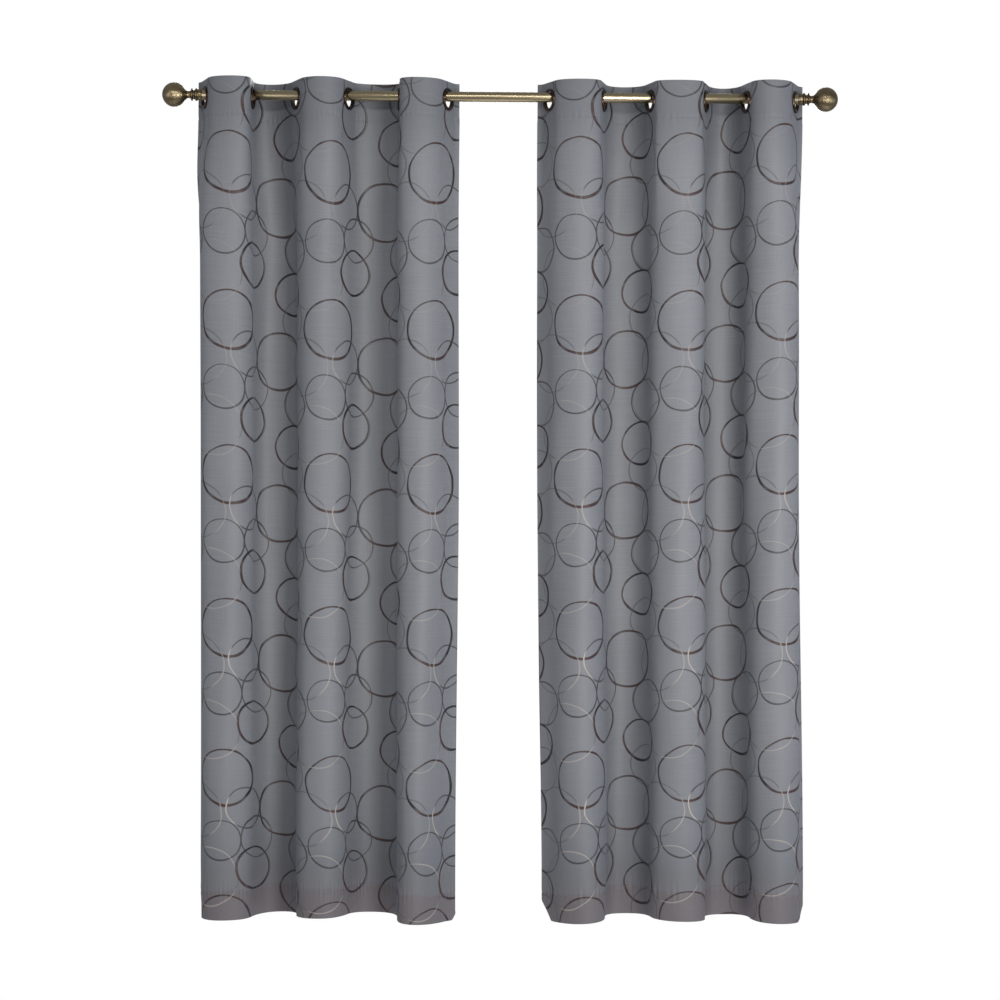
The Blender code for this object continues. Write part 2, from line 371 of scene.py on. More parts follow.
RINGS = (
    Ring(0.000, 0.000, 0.0760, 0.0059, 1.0, (0.30, 0.20), (UP, DOWN)),
    Ring(0.0015, -0.001, 0.0742, 0.0023, 0.62, (0.5, 0.0)),
    Ring(0.086, -0.151, 0.0570, 0.0059, 1.0, (-0.35, 0.10), ((-1.0, 0.4, Thread.COPPER),)),
    Ring(0.0885, -0.150, 0.0580, 0.0023, 0.52, (0.5, 0.0), ((1.0, 0.0, Thread.COPPER),)),
    Ring(0.188, 0.088, 0.0750, 0.0060, 0.94, (0.10, 0.15), (UP, DOWN)),
    Ring(0.1895, 0.089, 0.0738, 0.0021, 0.56, (-0.5, 0.0)),
    Ring(0.232, -0.088, 0.0565, 0.0057, 1.0, (0.10, 0.20), ((-1.0, 0.3, Thread.COPPER),)),
    Ring(0.2345, -0.087, 0.0570, 0.0018, 0.45, (0.5, 0.0)),
    Ring(-0.016, 0.174, 0.0560, 0.0041, 0.78, (0.15, 0.20)),
    Ring(0.097, 0.164, 0.0570, 0.0041, 0.80, (-0.1, -0.15), ((1.0, 0.3, Thread.COPPER),)),
    Ring(0.259, 0.201, 0.0580, 0.0041, 0.74),
    Ring(0.2615, 0.199, 0.0566, 0.0018, 0.45),
    Ring(0.252, -0.019, 0.0570, 0.0032, 0.48),
    Ring(0.056, 0.082, 0.0560, 0.0041, 0.74, (0.15, 0.0), ((-1.0, 0.25, Thread.CREAM),)),
    Ring(-0.046, -0.124, 0.0780, 0.0032, 0.40, (0.0, 0.0), SHEEN),
    Ring(-0.085, 0.099, 0.0740, 0.0033, 0.40, (0.0, 0.0), ((1.0, 0.25, Thread.CREAM),)),
)


@dataclass(frozen=True)
class Jacquard:
    """The face of the cloth: slate satin with dark, copper and cream rings woven in, and painted shade
    at the heading and towards the hem.
    """

    slate: tuple[float, float, float] = (0.196, 0.202, 0.221)
    shade: tuple[float, float, float] = (0.162, 0.167, 0.185)
    dark: tuple[float, float, float] = (0.012, 0.008, 0.009)
    copper: tuple[float, float, float] = (0.038, 0.016, 0.014)
    cream: tuple[float, float, float] = (0.34, 0.295, 0.265)
    # Painted shade: the tones that the doubled heading and hem and the lower cloth darken towards, as
    # if less light came through or reached them.
    heading: tuple[float, float, float] = (0.098, 0.106, 0.121)
    hem: tuple[float, float, float] = (0.118, 0.107, 0.117)
    repeat_width: float = 0.3935
    repeat_height: float = 0.399
    yarn: float = 0.00055
    rings: tuple[Ring, ...] = RINGS

    def build(self) -> bpy.types.Material:
        """Build the material, which reads the cloth's own UV map in metres.

        Returns:
            The material.
        """
        material, graph = new_material("satin_jacquard")
        uv = graph.add("ShaderNodeUVMap", {"uv_map": "cloth"}).outputs[0]
        drawn = self._hand_drawn(graph, uv)
        ink, copper, cream = self._rings(graph, drawn)
        slub = graph.noise(graph.stretched(uv, (9.0, 420.0, 1.0)), 1.0, 3.0)
        warp = graph.noise(graph.stretched(uv, (500.0, 14.0, 1.0)), 1.0, 2.0)
        cloud = graph.noise(uv, 5.0, 3.0)
        tone = (slub * 0.55 + warp * 0.25 + cloud * 0.35).ramp(0.38, 0.80)
        ground = graph.mix(tone, self.shade, self.slate)
        # The painted shade attribute darkens the ground towards the bluish heading tone and the warm
        # hem tone.
        layers = graph.number(graph.add("ShaderNodeAttribute", {"attribute_name": "dimmed"}), "Fac")
        painted_shade_tone = graph.mix(layers.ramp(0.5, 1.0), self.heading, self.hem)
        ground = graph.mix(layers, ground, painted_shade_tone)
        height = self._weave(graph, uv)
        fibre = slub.ramp(0.30, 0.62, 0.86, 1.0)
        colour = graph.mix(ink * fibre, ground, self.dark)
        colour = graph.mix(copper * fibre, colour, self.copper)
        colour = graph.mix(cream * fibre, colour, self.cream)
        line = ink.most(copper).most(cream)
        relief = height + slub * 0.35 + line * 0.8
        finish_material(
            graph,
            {
                "Base Color": colour,
                "Roughness": slub.ramp(0.2, 0.8, 0.44, 0.58) - line * 0.08,
                "Normal": graph.bump(0.22, 0.0004, relief),
                "Specular IOR Level": 0.40,
                "Sheen Weight": 0.10,
                "Sheen Roughness": 0.45,
                "Sheen Tint": (0.74, 0.83, 1.0, 1.0),
            },
        )
        return material

    def _hand_drawn(self, graph: Graph, uv: bpy.types.NodeSocket) -> bpy.types.NodeSocket:
        """The cloth's place with the small wander of lines that were drawn by hand.

        Args:
            graph: The material's tree.
            uv: The cloth's place in metres.

        Returns:
            The place, moved by up to 6 mm.
        """
        wander = graph.add("ShaderNodeTexNoise", None, {"Vector": uv, "Scale": 11.0, "Detail": 1.0})
        centred = graph.vector("SUBTRACT", wander.outputs["Color"], (0.5, 0.5, 0.5))
        scaled = graph.vector("MULTIPLY", centred.outputs[0], (0.012, 0.012, 0.0))
        step = graph.add("ShaderNodeTexNoise", None, {"Vector": uv, "Scale": 900.0, "Detail": 0.0})
        fine = graph.vector("SUBTRACT", step.outputs["Color"], (0.5, 0.5, 0.5))
        teeth = graph.vector("MULTIPLY", fine.outputs[0], (0.0009, 0.0009, 0.0))
        both = graph.vector("ADD", scaled.outputs[0], teeth.outputs[0])
        return graph.vector("ADD", uv, both.outputs[0]).outputs[0]

    def _rings(self, graph: Graph, place: bpy.types.NodeSocket) -> tuple[Value, Value, Value]:
        """Where the rings are woven.

        Args:
            graph: The material's tree.
            place: The cloth's place in metres.

        Returns:
            How much dark, copper and cream yarn shows, each from 0 to 1; the cream carries a painted
            highlight that grows towards the hem.
        """
        high = (self.repeat_width / 2, self.repeat_height / 2, 1.0)
        low = tuple(-x for x in high)
        brush = graph.noise(place, 16.0, 2.0).ramp(0.25, 0.75, 0.72, 1.18)
        down = graph.add("ShaderNodeSeparateXYZ", None, {"Vector": place})
        # Painted highlight: cream yarn is shown brighter lower down the cloth, as if it caught more
        # light near the hem.
        cream_painted_highlight = graph.number(down, "Y").ramp(-0.1, 1.5, 0.16, 1.0)
        dark = copper = cream = None
        for ring in self.rings:
            moved = graph.vector("SUBTRACT", place, (ring.x, ring.y, 0.0)).outputs[0]
            local = graph.vector("WRAP", moved, high, low).outputs[0]
            distance = graph.number(graph.vector("LENGTH", local), "Value")
            width = brush * ring.width
            if any(ring.swell):
                pull = tuple(k / ring.radius * ring.width for k in ring.swell)
                pulled = graph.vector("DOT_PRODUCT", local, (*pull, 0.0))
                width = width + graph.number(pulled, "Value")
            off = (distance - ring.radius).size() - width * 0.5
            line = off.ramp(-0.0006, 0.0006, ring.ink, 0.0)
            plain = line
            for ax, ay, thread in ring.accents:
                length = math.hypot(ax, ay) * ring.radius
                facing = graph.number(
                    graph.vector("DOT_PRODUCT", local, (ax / length, ay / length, 0.0)), "Value"
                )
                share = facing.ramp(0.62, 0.90)
                accent = line * share
                plain = plain * (1.0 - share)
                if thread is Thread.COPPER:
                    copper = accent if copper is None else copper.most(accent)
                else:
                    # Cream accents take the painted highlight that grows towards the hem.
                    accent = accent * cream_painted_highlight * 1.5
                    cream = accent if cream is None else cream.most(accent)
            dark = plain if dark is None else dark.most(plain)
        return dark, copper, cream

    def _weave(self, graph: Graph, uv: bpy.types.NodeSocket) -> Value:
        """The height of the warp and weft yarns, from 0 to 1.

        Args:
            graph: The material's tree.
            uv: The cloth's place in metres.

        Returns:
            The height.
        """
        parts = graph.add("ShaderNodeSeparateXYZ", None, {"Vector": uv})
        turn = math.pi / self.yarn
        warp = (graph.number(parts, "X") * turn).sine().size()
        weft = (graph.number(parts, "Y") * (turn * 0.8)).sine().size()
        twill = ((graph.number(parts, "X") + graph.number(parts, "Y") * 2.0) * (turn / 4)).sine()
        return warp * 0.35 + weft * 0.45 + twill.ramp(-0.2, 0.9) * 0.35


@dataclass(frozen=True)
class Backing:
    """The plain reverse of the cloth, where the dense back weave shows."""

    light: tuple[float, float, float] = (0.235, 0.240, 0.255)
    shade: tuple[float, float, float] = (0.195, 0.200, 0.216)
    yarn: float = 0.0006

    def build(self) -> bpy.types.Material:
        """Build the material, which reads the cloth's own UV map in metres.

        Returns:
            The material.
        """
        material, graph = new_material("cloth_reverse")
        uv = graph.add("ShaderNodeUVMap", {"uv_map": "cloth"}).outputs[0]
        parts = graph.add("ShaderNodeSeparateXYZ", None, {"Vector": uv})
        turn = math.pi / self.yarn
        warp = (graph.number(parts, "X") * turn).sine().size()
        weft = (graph.number(parts, "Y") * turn).sine().size()
        slub = graph.noise(graph.stretched(uv, (12.0, 300.0, 1.0)), 1.0, 3.0)
        cloud = graph.noise(uv, 4.0, 3.0)
        tone = (slub * 0.6 + cloud * 0.5).ramp(0.35, 0.75)
        relief = warp * 0.5 + weft * 0.5 + slub * 0.4
        finish_material(
            graph,
            {
                "Base Color": graph.mix(tone, self.shade, self.light),
                "Roughness": slub.ramp(0.2, 0.8, 0.72, 0.86),
                "Normal": graph.bump(0.25, 0.0004, relief),
                "Specular IOR Level": 0.25,
                "Sheen Weight": 0.12,
                "Sheen Roughness": 0.5,
            },
        )
        return material


@dataclass(frozen=True)
class AgedMetal:
    """A lacquered metal finish with dark patina, rubbed edges and fine turning marks."""

    name: str
    bright: tuple[float, float, float]
    patina: tuple[float, float, float]
    rubbed: tuple[float, float, float]
    roughness: tuple[float, float]
    mottling: float
    patina_from: float
    patina_to: float
    marks: tuple[float, float, float]
    mark_depth: float = 0.08
    mark_height: float = 0.0002

    def build(self) -> bpy.types.Material:
        """Build the material on Object coordinates.

        Returns:
            The material.
        """
        material, graph = new_material(self.name)
        place = graph.add("ShaderNodeTexCoord").outputs["Object"]
        geometry = graph.add("ShaderNodeNewGeometry")
        mottle = graph.noise(place, self.mottling, 4.0)
        streak = graph.noise(graph.stretched(place, self.marks), 1.0, 3.0)
        worn = graph.number(geometry, "Pointiness").ramp(0.51, 0.58)
        dark = (mottle * 0.7 + streak * 0.35).ramp(self.patina_from, self.patina_to)
        colour = graph.mix(dark, self.bright, self.patina)
        colour = graph.mix(worn * 0.7, colour, self.rubbed)
        low, high = self.roughness
        rough = (streak * 0.5 + mottle * 0.5).ramp(0.25, 0.75, low, high)
        finish_material(
            graph,
            {
                "Base Color": colour,
                "Metallic": 1.0,
                "Roughness": rough,
                "Normal": graph.bump(self.mark_depth, self.mark_height, streak),
                "Coat Weight": 0.25,
                "Coat Roughness": 0.18,
            },
        )
        return material


ROD_BRASS = AgedMetal(
    "antique_brass",
    bright=(0.45, 0.375, 0.225),
    patina=(0.25, 0.195, 0.115),
    rubbed=(0.60, 0.50, 0.32),
    roughness=(0.22, 0.28),
    mottling=30.0,
    patina_from=0.48,
    patina_to=0.82,
    marks=(6.0, 500.0, 500.0),
    mark_depth=0.04,
)
FINIAL_BRASS = AgedMetal(
    "antique_brass_cast",
    bright=(0.42, 0.335, 0.20),
    patina=(0.18, 0.13, 0.078),
    rubbed=(0.56, 0.46, 0.29),
    roughness=(0.20, 0.32),
    mottling=26.0,
    patina_from=0.38,
    patina_to=0.72,
    marks=(1700.0, 5.0, 5.0),
    mark_depth=0.8,
    mark_height=0.0007,
)
RIM_BRONZE = AgedMetal(
    "antique_bronze",
    bright=(0.092, 0.054, 0.042),
    patina=(0.028, 0.018, 0.015),
    rubbed=(0.24, 0.13, 0.095),
    roughness=(0.24, 0.38),
    mottling=120.0,
    patina_from=0.38,
    patina_to=0.68,
    marks=(260.0, 260.0, 60.0),
)
STUD_STEEL = AgedMetal(
    "zinc_steel",
    bright=(0.62, 0.63, 0.65),
    patina=(0.42, 0.43, 0.45),
    rubbed=(0.72, 0.72, 0.73),
    roughness=(0.26, 0.40),
    mottling=160.0,
    patina_from=0.4,
    patina_to=0.7,
    marks=(900.0, 40.0, 40.0),
)


@dataclass(frozen=True)
class Plastic:
    """Moulded plastic with a faint grain."""

    colour: tuple[float, float, float] = (0.022, 0.022, 0.023)

    def build(self) -> bpy.types.Material:
        """Build the material on Object coordinates.

        Returns:
            The material.
        """
        material, graph = new_material("black_plastic")
        place = graph.add("ShaderNodeTexCoord").outputs["Object"]
        grain = graph.noise(place, 900.0, 3.0)
        lighter = tuple(c * 1.7 for c in self.colour)
        finish_material(
            graph,
            {
                "Base Color": graph.mix(grain, self.colour, lighter),
                "Roughness": grain.ramp(0.2, 0.8, 0.48, 0.62),
                "Normal": graph.bump(0.1, 0.0002, grain),
            },
        )
        return material


@dataclass(frozen=True)
class SewingThread:
    """Polyester thread in the colour of the cloth, with its twist."""

    light: tuple[float, float, float] = (0.235, 0.245, 0.275)
    shade: tuple[float, float, float] = (0.130, 0.135, 0.155)

    def build(self) -> bpy.types.Material:
        """Build the material on Object coordinates.

        Returns:
            The material.
        """
        material, graph = new_material("sewing_thread")
        place = graph.add("ShaderNodeTexCoord").outputs["Object"]
        twist = graph.noise(graph.stretched(place, (2600.0, 2600.0, 1600.0)), 1.0, 1.0)
        finish_material(
            graph,
            {
                "Base Color": graph.mix(twist.ramp(0.3, 0.7), self.shade, self.light),
                "Roughness": twist.ramp(0.3, 0.7, 0.50, 0.62),
                "Sheen Weight": 0.2,
            },
        )
        return material


@dataclass
class Finishes:
    """Every finish, built once."""

    face: bpy.types.Material
    reverse: bpy.types.Material
    rod: bpy.types.Material
    finial: bpy.types.Material
    bronze: bpy.types.Material
    steel: bpy.types.Material
    plastic: bpy.types.Material
    thread: bpy.types.Material

    @classmethod
    def build(cls) -> "Finishes":
        """Build all of the materials.

        Returns:
            The finishes.
        """
        return cls(
            face=Jacquard().build(),
            reverse=Backing().build(),
            rod=ROD_BRASS.build(),
            finial=FINIAL_BRASS.build(),
            bronze=RIM_BRONZE.build(),
            steel=STUD_STEEL.build(),
            plastic=Plastic().build(),
            thread=SewingThread().build(),
        )


# ---------------------------------------------------------------------------------------
# Meshes


def add_piece(name: str, mesh: bpy.types.Mesh) -> bpy.types.Object:
    """Put a mesh in the scene, at the origin.

    Args:
        name: The piece's name.
        mesh: Its mesh.

    Returns:
        The piece.
    """
    piece = bpy.data.objects.new(name, mesh)
    bpy.context.scene.collection.objects.link(piece)
    return piece


def make_mesh(name: str, points: np.ndarray, faces: list | np.ndarray) -> bpy.types.Mesh:
    """A mesh from points and faces, smooth shaded.

    Args:
        name: The mesh's name.
        points: Its points.
        faces: Point numbers for each face.

    Returns:
        The mesh.
    """
    mesh = bpy.data.meshes.new(name)
    rows = faces.tolist() if isinstance(faces, np.ndarray) else faces
    mesh.from_pydata(points.tolist(), [], rows)
    mesh.polygons.foreach_set("use_smooth", [True] * len(mesh.polygons))
    return mesh


def quads_over(index: np.ndarray) -> np.ndarray:
    """The four corners of each cell of a grid of point numbers, down its left side first."""
    return np.stack([index[:-1, :-1], index[1:, :-1], index[1:, 1:], index[:-1, 1:]], axis=-1)


def eased(outline: Outline, radius: float, steps: int = 3) -> Outline:
    """Round the corners of an outline.

    Args:
        outline: Corners as (radius, height), of which the first and last stay sharp.
        radius: How far from each corner the rounding starts.
        steps: Segments in each rounded corner.

    Returns:
        The outline with its corners rounded.
    """
    points = [np.array(p, float) for p in outline]
    result = [points[0]]
    for before, corner, after in zip(points, points[1:], points[2:]):
        back, ahead = before - corner, after - corner
        near = min(radius, 0.45 * np.linalg.norm(back), 0.45 * np.linalg.norm(ahead))
        start, end = corner + near * unit(back), corner + near * unit(ahead)
        for t in np.linspace(0.0, 1.0, steps + 1):
            result.append((1 - t) ** 2 * start + 2 * t * (1 - t) * corner + t * t * end)
    result.append(points[-1])
    return [tuple(p) for p in result]


def arc(centre: float, radius: float, start: float, end: float, steps: int) -> Outline:
    """Points (radius, height) along an arc about (0, centre), by angle from the axis."""
    angles = np.linspace(start, end, steps + 1)
    return [(radius * math.sin(a), centre + radius * math.cos(a)) for a in angles]


@dataclass(frozen=True)
class Lathe:
    """Turns outlines about an axis through a point."""

    centre: np.ndarray
    axis: np.ndarray
    steps: int = 96

    def frame(self) -> tuple[np.ndarray, np.ndarray]:
        """Two unit vectors that make a right-handed frame with the axis.

        Returns:
            The two vectors, square to the axis.
        """
        helper = np.array((0.0, 0.0, 1.0)) if abs(self.axis[2]) < 0.9 else np.array((1.0, 0.0, 0.0))
        across = unit(np.cross(helper, self.axis))
        return across, np.cross(self.axis, across)

    def turn(self, name: str, outline: Outline) -> bpy.types.Mesh:
        """Turn an outline into a closed body.

        Args:
            name: The mesh's name.
            outline: (radius, height) from the top, down the outside. It is closed into a
                loop unless it starts and ends on the axis.

        Returns:
            The mesh, with its faces outwards.
        """
        across, third = self.frame()
        solid = outline[0][0] == 0.0
        angles = 2 * math.pi * np.arange(self.steps) / self.steps
        around = np.outer(np.cos(angles), across) + np.outer(np.sin(angles), third)
        points, rings = [], []
        for radius, height in outline:
            first = len(points)
            foot = self.centre + height * self.axis
            if radius == 0.0:
                points.append(foot)
                rings.append([first] * self.steps)
            else:
                points.extend(foot + radius * around)
                rings.append(list(range(first, first + self.steps)))
        faces = []
        pairs = list(zip(rings, rings[1:])) + ([] if solid else [(rings[-1], rings[0])])
        for upper, lower in pairs:
            for k in range(self.steps):
                n = (k + 1) % self.steps
                corners = [upper[k], lower[k], lower[n], upper[n]]
                faces.append(list(dict.fromkeys(corners)))
        return make_mesh(name, np.array(points), faces)


class Shell:
    """A closed body of cloth, made from a sheet of quads and a thickness."""

    def __init__(
        self,
        middle: np.ndarray,
        normal: np.ndarray,
        uv: np.ndarray,
        dimmed: np.ndarray,
        flat_s: np.ndarray,
        quads: np.ndarray,
    ) -> None:
        """Keep the points that the quads use.

        Args:
            middle: Points on the middle of the cloth.
            normal: The way the face of the cloth points, at each point.
            uv: Each point's place on the flat cloth.
            dimmed: Painted shade at each point: where the cloth is doubled at the
            heading and the hem less light comes through from behind, and it darkens towards the hem.
            flat_s: Each point's distance from the panel's left edge on the flat cloth.
            quads: Four points for each quad, counter-clockwise seen from the face.
        """
        used, inverse = np.unique(quads, return_inverse=True)
        self.middle, self.normal, self.uv = middle[used], normal[used], uv[used]
        self.dimmed, self.flat_s = dimmed[used], flat_s[used]
        self.quads = inverse.reshape(quads.shape)

    def _rim(self) -> np.ndarray:
        """The directed edges that only one quad uses.

        Returns:
            Pairs of point numbers.
        """
        edges = np.concatenate([self.quads[:, [i, (i + 1) % 4]] for i in range(4)])
        count = len(self.middle)
        keys = edges[:, 0] * count + edges[:, 1]
        twins = edges[:, 1] * count + edges[:, 0]
        return edges[~np.isin(keys, twins)]

    def build(self, name: str, thickness: float, cut_at: list[float]) -> bpy.types.Mesh:
        """Make the mesh: face, reverse and a rounded rim.

        Args:
            name: The mesh's name.
            thickness: The cloth's thickness.
            cut_at: Places s along which the cloth goes on in the next piece, so that its
                rim stays flat there.

        Returns:
            The mesh, with the face in material slot 0 and the reverse in slot 1.
        """
        rim = self._rim()
        run = self.middle[rim[:, 1]] - self.middle[rim[:, 0]]
        away = unit(np.cross(run, self.normal[rim[:, 0]]))
        free = np.ones(len(rim), bool)
        for s in cut_at:
            free &= ~(np.abs(self.flat_s[rim] - s) < 1e-6).all(axis=1)
        outward = np.zeros_like(self.middle)
        for column in (0, 1):
            np.add.at(outward, rim[free, column], away[free])
        outward = unit(outward)
        count = len(self.middle)
        edge_points = np.unique(rim)
        slot = np.full(count, -1)
        slot[edge_points] = np.arange(len(edge_points)) + 2 * count
        bulge = self.middle + outward * thickness * 0.42
        points = np.concatenate(
            [
                self.middle + self.normal * thickness / 2,
                self.middle - self.normal * thickness / 2,
                bulge[edge_points],
            ]
        )
        a, b = rim[:, 0], rim[:, 1]
        front_rim = np.stack([b, a, slot[a], slot[b]], axis=1)
        back_rim = np.stack([slot[b], slot[a], a + count, b + count], axis=1)
        faces = np.concatenate([self.quads, self.quads[:, ::-1] + count, front_rim, back_rim])
        mesh = make_mesh(name, points, faces)
        slots = np.zeros(len(faces), np.int32)
        slots[len(self.quads) : 2 * len(self.quads)] = 1
        mesh.polygons.foreach_set("material_index", slots)
        origin = np.concatenate([np.arange(count), np.arange(count), edge_points])
        layer = mesh.uv_layers.new(name="cloth")
        loops = np.zeros(len(mesh.loops), np.int32)
        mesh.loops.foreach_get("vertex_index", loops)
        layer.data.foreach_set("uv", self.uv[origin[loops]].astype(np.float32).ravel())
        layers = mesh.attributes.new("dimmed", "FLOAT", "POINT")
        layers.data.foreach_set("value", self.dimmed[origin].astype(np.float32))
        rounded = outward[edge_points]
        free_edge = np.linalg.norm(rounded, axis=1, keepdims=True) > 0.5
        edge_normal = np.where(free_edge, rounded, self.normal[edge_points])
        normals = np.concatenate([self.normal, -self.normal, edge_normal])
        mesh.normals_split_custom_set_from_vertices(normals.tolist())
        return mesh


# ---------------------------------------------------------------------------------------
# Geometry Nodes


class NodeRig:
    """A Geometry Nodes tree with named inputs, applied to a mesh as a modifier."""

    def __init__(self, name: str) -> None:
        """Start a tree that takes and gives geometry.

        Args:
            name: The tree's name.
        """
        self.tree = bpy.data.node_groups.new(name, "GeometryNodeTree")
        self.graph = Graph(self.tree)
        self.sockets: dict[str, str] = {}
        face = self.tree.interface
        face.new_socket("Geometry", in_out="INPUT", socket_type="NodeSocketGeometry")
        face.new_socket("Geometry", in_out="OUTPUT", socket_type="NodeSocketGeometry")
        self.inlet = self.graph.add("NodeGroupInput")

    def size(self, name: str, kind: str = "NodeSocketFloat") -> bpy.types.NodeSocket:
        """Add a named input and return the socket that gives it.

        Args:
            name: The input's name.
            kind: Its socket type.

        Returns:
            The socket.
        """
        item = self.tree.interface.new_socket(name, in_out="INPUT", socket_type=kind)
        self.sockets[name] = item.identifier
        return self.inlet.outputs[name]

    def close(self, geometry: bpy.types.NodeSocket, material: bpy.types.NodeSocket) -> None:
        """End the tree in Realize Instances and Set Material.

        Args:
            geometry: What the tree has made.
            material: The input that holds its material.
        """
        real = self.graph.add("GeometryNodeRealizeInstances", None, {"Geometry": geometry})
        dressed = self.graph.add(
            "GeometryNodeSetMaterial", None, {"Geometry": real.outputs[0], "Material": material}
        )
        self.graph.add("NodeGroupOutput", None, {0: dressed.outputs[0]})

    def grow(self, name: str, seed_mesh: bpy.types.Mesh, values: dict[str, object]) -> bpy.types.Object:
        """Run the tree on a mesh.

        Args:
            name: The new piece's name.
            seed_mesh: The mesh that the tree reads.
            values: The named inputs' values.

        Returns:
            The piece as a plain mesh.
        """
        source = add_piece(f"{name}_seed", seed_mesh)
        modifier = source.modifiers.new("Rig", "NODES")
        modifier.node_group = self.tree
        for key, value in values.items():
            modifier[self.sockets[key]] = value
        graph = bpy.context.evaluated_depsgraph_get()
        mesh = bpy.data.meshes.new_from_object(source.evaluated_get(graph), depsgraph=graph)
        mesh.name = name
        bpy.data.objects.remove(source, do_unlink=True)
        mesh.polygons.foreach_set("use_smooth", [True] * len(mesh.polygons))
        return add_piece(name, mesh)


class StitchRig(NodeRig):
    """Lays a stitch at every pitch along the edges of a mesh."""

    def __init__(self) -> None:
        """Build the tree."""
        super().__init__("lockstitch_line")
        graph = self.graph
        pitch = self.size("Pitch")
        length = self.size("Stitch length")
        radius = self.size("Thread radius")
        wander = self.size("Wander")
        seed = self.size("Seed", "NodeSocketInt")
        material = self.size("Thread", "NodeSocketMaterial")
        curve = graph.add("GeometryNodeMeshToCurve", None, {"Mesh": self.inlet.outputs["Geometry"]})
        points = graph.add(
            "GeometryNodeResampleCurve",
            {"mode": "LENGTH"},
            {"Curve": curve.outputs[0], "Length": pitch},
        )
        round_grain = {"Segments": 6, "Rings": 5, "Radius": 1.0}
        grain = graph.add("GeometryNodeMeshUVSphere", None, round_grain)
        size = graph.add("ShaderNodeCombineXYZ", None, {0: length, 1: radius, 2: radius})
        stitch = graph.add(
            "GeometryNodeTransform", None, {"Geometry": grain.outputs[0], "Scale": size.outputs[0]}
        )
        tangent = graph.add("GeometryNodeInputTangent")
        ahead = {"Vector": tangent.outputs[0]}
        along = graph.add("FunctionNodeAlignRotationToVector", {"axis": "X"}, ahead)
        low = graph.vector("MULTIPLY", self._spread(wander), (-1.0, -1.0, -1.0))
        jitter = graph.add("FunctionNodeRandomValue", {"data_type": "FLOAT_VECTOR"})
        graph.feed(jitter, 0, low.outputs[0])
        graph.feed(jitter, 1, self._spread(wander))
        graph.feed(jitter, "Seed", seed)
        twist = graph.add("FunctionNodeEulerToRotation", None, {0: jitter.outputs[0]})
        turned = graph.add(
            "FunctionNodeRotateRotation",
            {"rotation_space": "LOCAL"},
            {0: along.outputs[0], 1: twist.outputs[0]},
        )
        laid = graph.add(
            "GeometryNodeInstanceOnPoints",
            None,
            {
                "Points": points.outputs[0],
                "Instance": stitch.outputs[0],
                "Rotation": turned.outputs[0],
            },
        )
        self.close(laid.outputs[0], material)

    def _spread(self, wander: bpy.types.NodeSocket) -> bpy.types.NodeSocket:
        """The wander as a vector of angles."""
        return self.graph.add("ShaderNodeCombineXYZ", None, {1: wander, 2: wander}).outputs[0]


class RimRig(NodeRig):
    """Sweeps a cross-section, drawn as a mesh loop, round a circle."""

    def __init__(self) -> None:
        """Build the tree."""
        super().__init__("pressed_ring")
        graph = self.graph
        radius = self.size("Ring radius")
        steps = self.size("Steps", "NodeSocketInt")
        material = self.size("Metal", "NodeSocketMaterial")
        outline = {"Mesh": self.inlet.outputs["Geometry"]}
        section = graph.add("GeometryNodeMeshToCurve", None, outline)
        path = {"Resolution": steps, "Radius": radius}
        circle = graph.add("GeometryNodeCurvePrimitiveCircle", None, path)
        upright = {"Curve": circle.outputs[0]}
        level = graph.add("GeometryNodeSetCurveNormal", {"mode": "Z_UP"}, upright)
        swept = graph.add(
            "GeometryNodeCurveToMesh",
            None,
            {"Curve": level.outputs[0], "Profile Curve": section.outputs[0]},
        )
        self.close(swept.outputs[0], material)


# ---------------------------------------------------------------------------------------
# Where the cloth hangs


def corners_of(frame: dict, node: str) -> np.ndarray:
    """A CAD node's separate corner points."""
    points = np.array([v.co for v in frame["nodes"][node].data.vertices])
    return np.unique(np.round(points, 6), axis=0)


@dataclass(frozen=True)
class Seat:
    """Where one grommet sits: its middle and the way the cloth's face points there."""

    number: int
    centre: np.ndarray
    normal: np.ndarray

    @classmethod
    def read(cls, frame: dict, side: Side, number: int) -> "Seat":
        """Find a grommet from its two halves in the frame.

        Args:
            frame: The loaded frame.
            side: The panel that it is in.
            number: Its number, from the finial end.

        Returns:
            The grommet's seat.
        """
        rim = corners_of(frame, f"{side.value}_grommet_{number}_front")
        washer = corners_of(frame, f"{side.value}_grommet_{number}_back")
        normal = unit(rim.mean(axis=0) - washer.mean(axis=0))
        heights = (rim - rim.mean(axis=0)) @ normal
        centre = rim.mean(axis=0) + normal * (heights.max() + heights.min()) / 2
        return cls(number, centre, normal)

    @property
    def along(self) -> np.ndarray:
        """The way the cloth runs in plan, from left to right."""
        return np.array((-self.normal[1], self.normal[0]))


class Plan:
    """A line in plan, by distance along the cloth from the panel's left edge."""

    def __init__(self, points: np.ndarray, width: float) -> None:
        """Measure the line.

        Args:
            points: Close points along it.
            width: The cloth's flat width, to which the measure is fitted.
        """
        steps = np.linalg.norm(np.diff(points, axis=0), axis=1)
        at = np.concatenate([[0.0], np.cumsum(steps)])
        self.at = at * width / at[-1]
        self.points = points

    def place(self, s: np.ndarray) -> np.ndarray:
        """The points at these distances."""
        return np.stack([np.interp(s, self.at, self.points[:, k]) for k in (0, 1)], axis=-1)


@dataclass(frozen=True)
class Lie:
    """How a panel's folds stand at one height.

    The angles are in degrees between the cloth and the rod, for grommets 1 to 6. The shifts
    are how far the cloth has moved along the rod from below each grommet.
    """

    angles: tuple[float, ...]
    outer_edge: float
    leading_edge: float
    shifts: tuple[float, ...] = (0.0,) * GROMMETS


@dataclass(frozen=True)
class Corner:
    """A bottom corner of a panel that has curled to the back."""

    at_right: bool
    across: float
    up: float
    curl: float = 0.008


